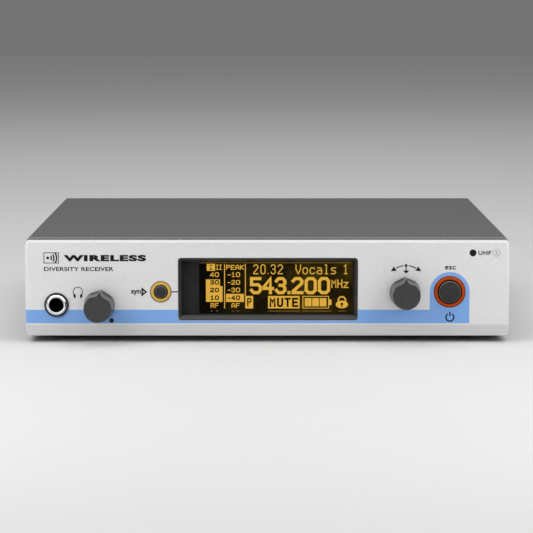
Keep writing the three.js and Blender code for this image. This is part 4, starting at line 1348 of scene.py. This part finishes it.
    # modular data socket
    lo, hi = span("data_socket")
    c = ((lo[0] + hi[0]) / 2, (lo[2] + hi[2]) / 2)
    yf = hi[1]
    outl = lambda e: rrect(lo[0] + e, hi[0] - e, lo[2] + e, hi[2] - e, 0.5, 4)
    port = [(-3.95, -2.6), (-1.7, -2.6), (-1.7, -4.6), (1.7, -4.6), (1.7, -2.6), (3.95, -2.6), (3.95, 3.6), (-3.95, 3.6)]
    port = [(c[0] + a, c[1] + b) for a, b in port]
    s = Solid()
    v, f, _ = sheet_faces(outl(0.3), [port], yf)
    s.add((v, f))
    s.add(loft([[(x, yf, z) for x, z in outl(0.3)], [(x, yf - 0.1, z) for x, z in outl(0.1)], [(x, yf - 0.3, z) for x, z in outl(0)], [(x, lo[1], z) for x, z in outl(0)]], caps=(False, True)))
    s.add(loft([[(x, yf, z) for x, z in port], [(x, 77, z) for x, z in port]], caps=(False, True)))
    piece("data_port", s, BLACK, nodes="data_socket", slot="black_plastic")
    for i in range(4):
        x = c[0] - 1.9 + i * 1.27
        w = Solid().add(loft([[(x - 0.2, y, z - 0.18), (x + 0.2, y, z - 0.18), (x + 0.2, y, z + 0.18), (x - 0.2, y, z + 0.18)] for y, z in ((88.5, c[1] + 3.3), (84, c[1] + 2.3), (79, c[1] + 1.0), (77.1, c[1] + 0.8))], caps=(True, True)))
        piece(f"data_contact_{i + 1}", w, GOLD, slot="zinc_steel")

    # supply socket, pin and cable hook
    lo, hi = span("dc_socket")
    c = axis_of("dc_pin")
    s = Solid()
    s.add(lathe(bezier_corners([(0, 81), (3.0, 81), (3.0, hi[1] - 0.3), (3.3, hi[1]), (5.1, hi[1]), (5.4, hi[1] - 0.3), (5.4, 88.5), (5.4, 76.2), (0, 76.2)], [0, 0, 0.2, 0.15, 0.15, 0.15, 0, 0.2, 0], 4), c, 72))
    piece("supply_socket", s, BLACK, nodes="dc_socket", slot="black_plastic")
    a, b = span("dc_pin")
    piece("supply_pin", Solid().add(lathe(bezier_corners([(0, a[1]), (1.05, a[1]), (1.05, b[1]), (0, b[1])], [0, 0.1, 0.4, 0], 5), c, 40)), ZINC, nodes="dc_pin", slot="zinc_steel")
    lo, hi = span("cable_grip")
    cz = (lo[2] + hi[2]) / 2
    prof = bezier_corners(
        [(0, -8), (1.6, -8), (1.6, 6.4), (5.4, 6.4), (5.4, -3.4), (6.2, -4.4), (7, -3.4), (7, 6.8), (5.8, 8), (0, 8)],
        [0.3, 0.5, 1.2, 1.2, 0.4, 0.4, 0.4, 1.0, 1.0, 0.3],
        5,
        closed=True,
    )
    e = 0.3
    cg = [sum(p[0] for p in prof) / len(prof), sum(p[1] for p in prof) / len(prof)]

    def ring(x, k):
        out = []
        n = len(prof)
        for i, (a, b) in enumerate(prof):
            p, q = Vector(prof[i - 1]), Vector(prof[(i + 1) % n])
            d = (q - p).normalized()
            nrm = Vector((-d.y, d.x))
            out.append((x, SEAT + a + nrm.x * k, cz + b + nrm.y * k))
        return out

    x0, x1 = lo[0], hi[0]
    loops = [ring(x0, e), ring(x0 + 0.09, 0.09), ring(x0 + e, 0), ring(x1 - e, 0), ring(x1 - 0.09, 0.09), ring(x1, e)]
    piece("cable_hook", Solid().add(loft(loops, caps=(True, True))), BLACK, nodes="cable_grip", slot="black_plastic")


rear()

# ------------------------------------------------------------------ floor, light, camera
FLOOR = material("floor_pale", (0.53, 0.53, 0.53), 0.9, 0.0, spec=0.0, grain=(20, 0.01), tone=(3, 0.01), dull=(5, 0.03))
nt = FLOOR.node_tree
far = nt.nodes.new("ShaderNodeVectorMath")
far.operation = "LENGTH"
nt.links.new(nt.nodes["Texture Coordinate"].outputs["Object"], far.inputs[0])
fade = nt.nodes.new("ShaderNodeMapRange")
fade.interpolation_type = "SMOOTHSTEP"
fade.inputs["From Min"].default_value = 0.5
fade.inputs["From Max"].default_value = 2.6
fade.inputs["To Max"].default_value = 0.086
nt.links.new(far.outputs["Value"], fade.inputs["Value"])
nt.nodes["Principled BSDF"].inputs["Emission Color"].default_value = (0.95, 0.96, 0.98, 1)
nt.links.new(fade.outputs["Result"], nt.nodes["Principled BSDF"].inputs["Emission Strength"])
g = Solid()
v, f, _ = sheet_faces([(-4000, -4000), (4000, -4000), (4000, 4000), (-4000, 4000)], [], 0)
me = bpy.data.meshes.new("floor")
me.from_pydata([(x * MM, z * MM, 0) for x, _, z in v], [], f)
me.materials.append(FLOOR)
floor = link("floor", me)

bpy.context.scene.view_settings.view_transform = "Standard"
world = bpy.data.worlds.new("studio")
bpy.context.scene.world = world
world.use_nodes = True
world.node_tree.nodes["Background"].inputs["Color"].default_value = (0.95, 0.96, 0.98, 1)
world.node_tree.nodes["Background"].inputs["Strength"].default_value = 0.18


def softbox(name, place, aim, size, power, colour=(1, 1, 1)):
    d = bpy.data.lights.new(name, "AREA")
    d.shape = "RECTANGLE"
    d.size, d.size_y = size
    d.energy = power
    d.color = colour
    ob = bpy.data.objects.new(name, d)
    bpy.context.scene.collection.objects.link(ob)
    ob.location = place
    ob.rotation_euler = (Vector(aim) - Vector(place)).to_track_quat("-Z", "Y").to_euler()
    return ob


softbox("left", (-0.34, -0.31, 0.19), (-0.07, -0.09, 0.02), (0.22, 0.3), 0.8)
softbox("right", (0.34, -0.31, 0.19), (0.07, -0.09, 0.02), (0.22, 0.3), 0.75)
softbox("rear", (0.0, 1.2, 1.2), (0, 0.05, 0.02), (1.2, 0.8), 2.5)
softbox("top", (0.0, -0.3, 1.3), (0, -0.05, 0.04), (2.6, 1.6), 30)

cam = bpy.data.cameras.new("camera")
cam.sensor_width = 36
cam.lens = 36 * 2024.5 / 533
camera = bpy.data.objects.new("camera", cam)
bpy.context.scene.collection.objects.link(camera)
camera.location = (-0.000358, -0.965895, 0.152446)
camera.rotation_euler = (pi / 2 - 0.1345, 0, 0)
cam.clip_start, cam.clip_end = 0.05, 30
bpy.context.scene.camera = camera

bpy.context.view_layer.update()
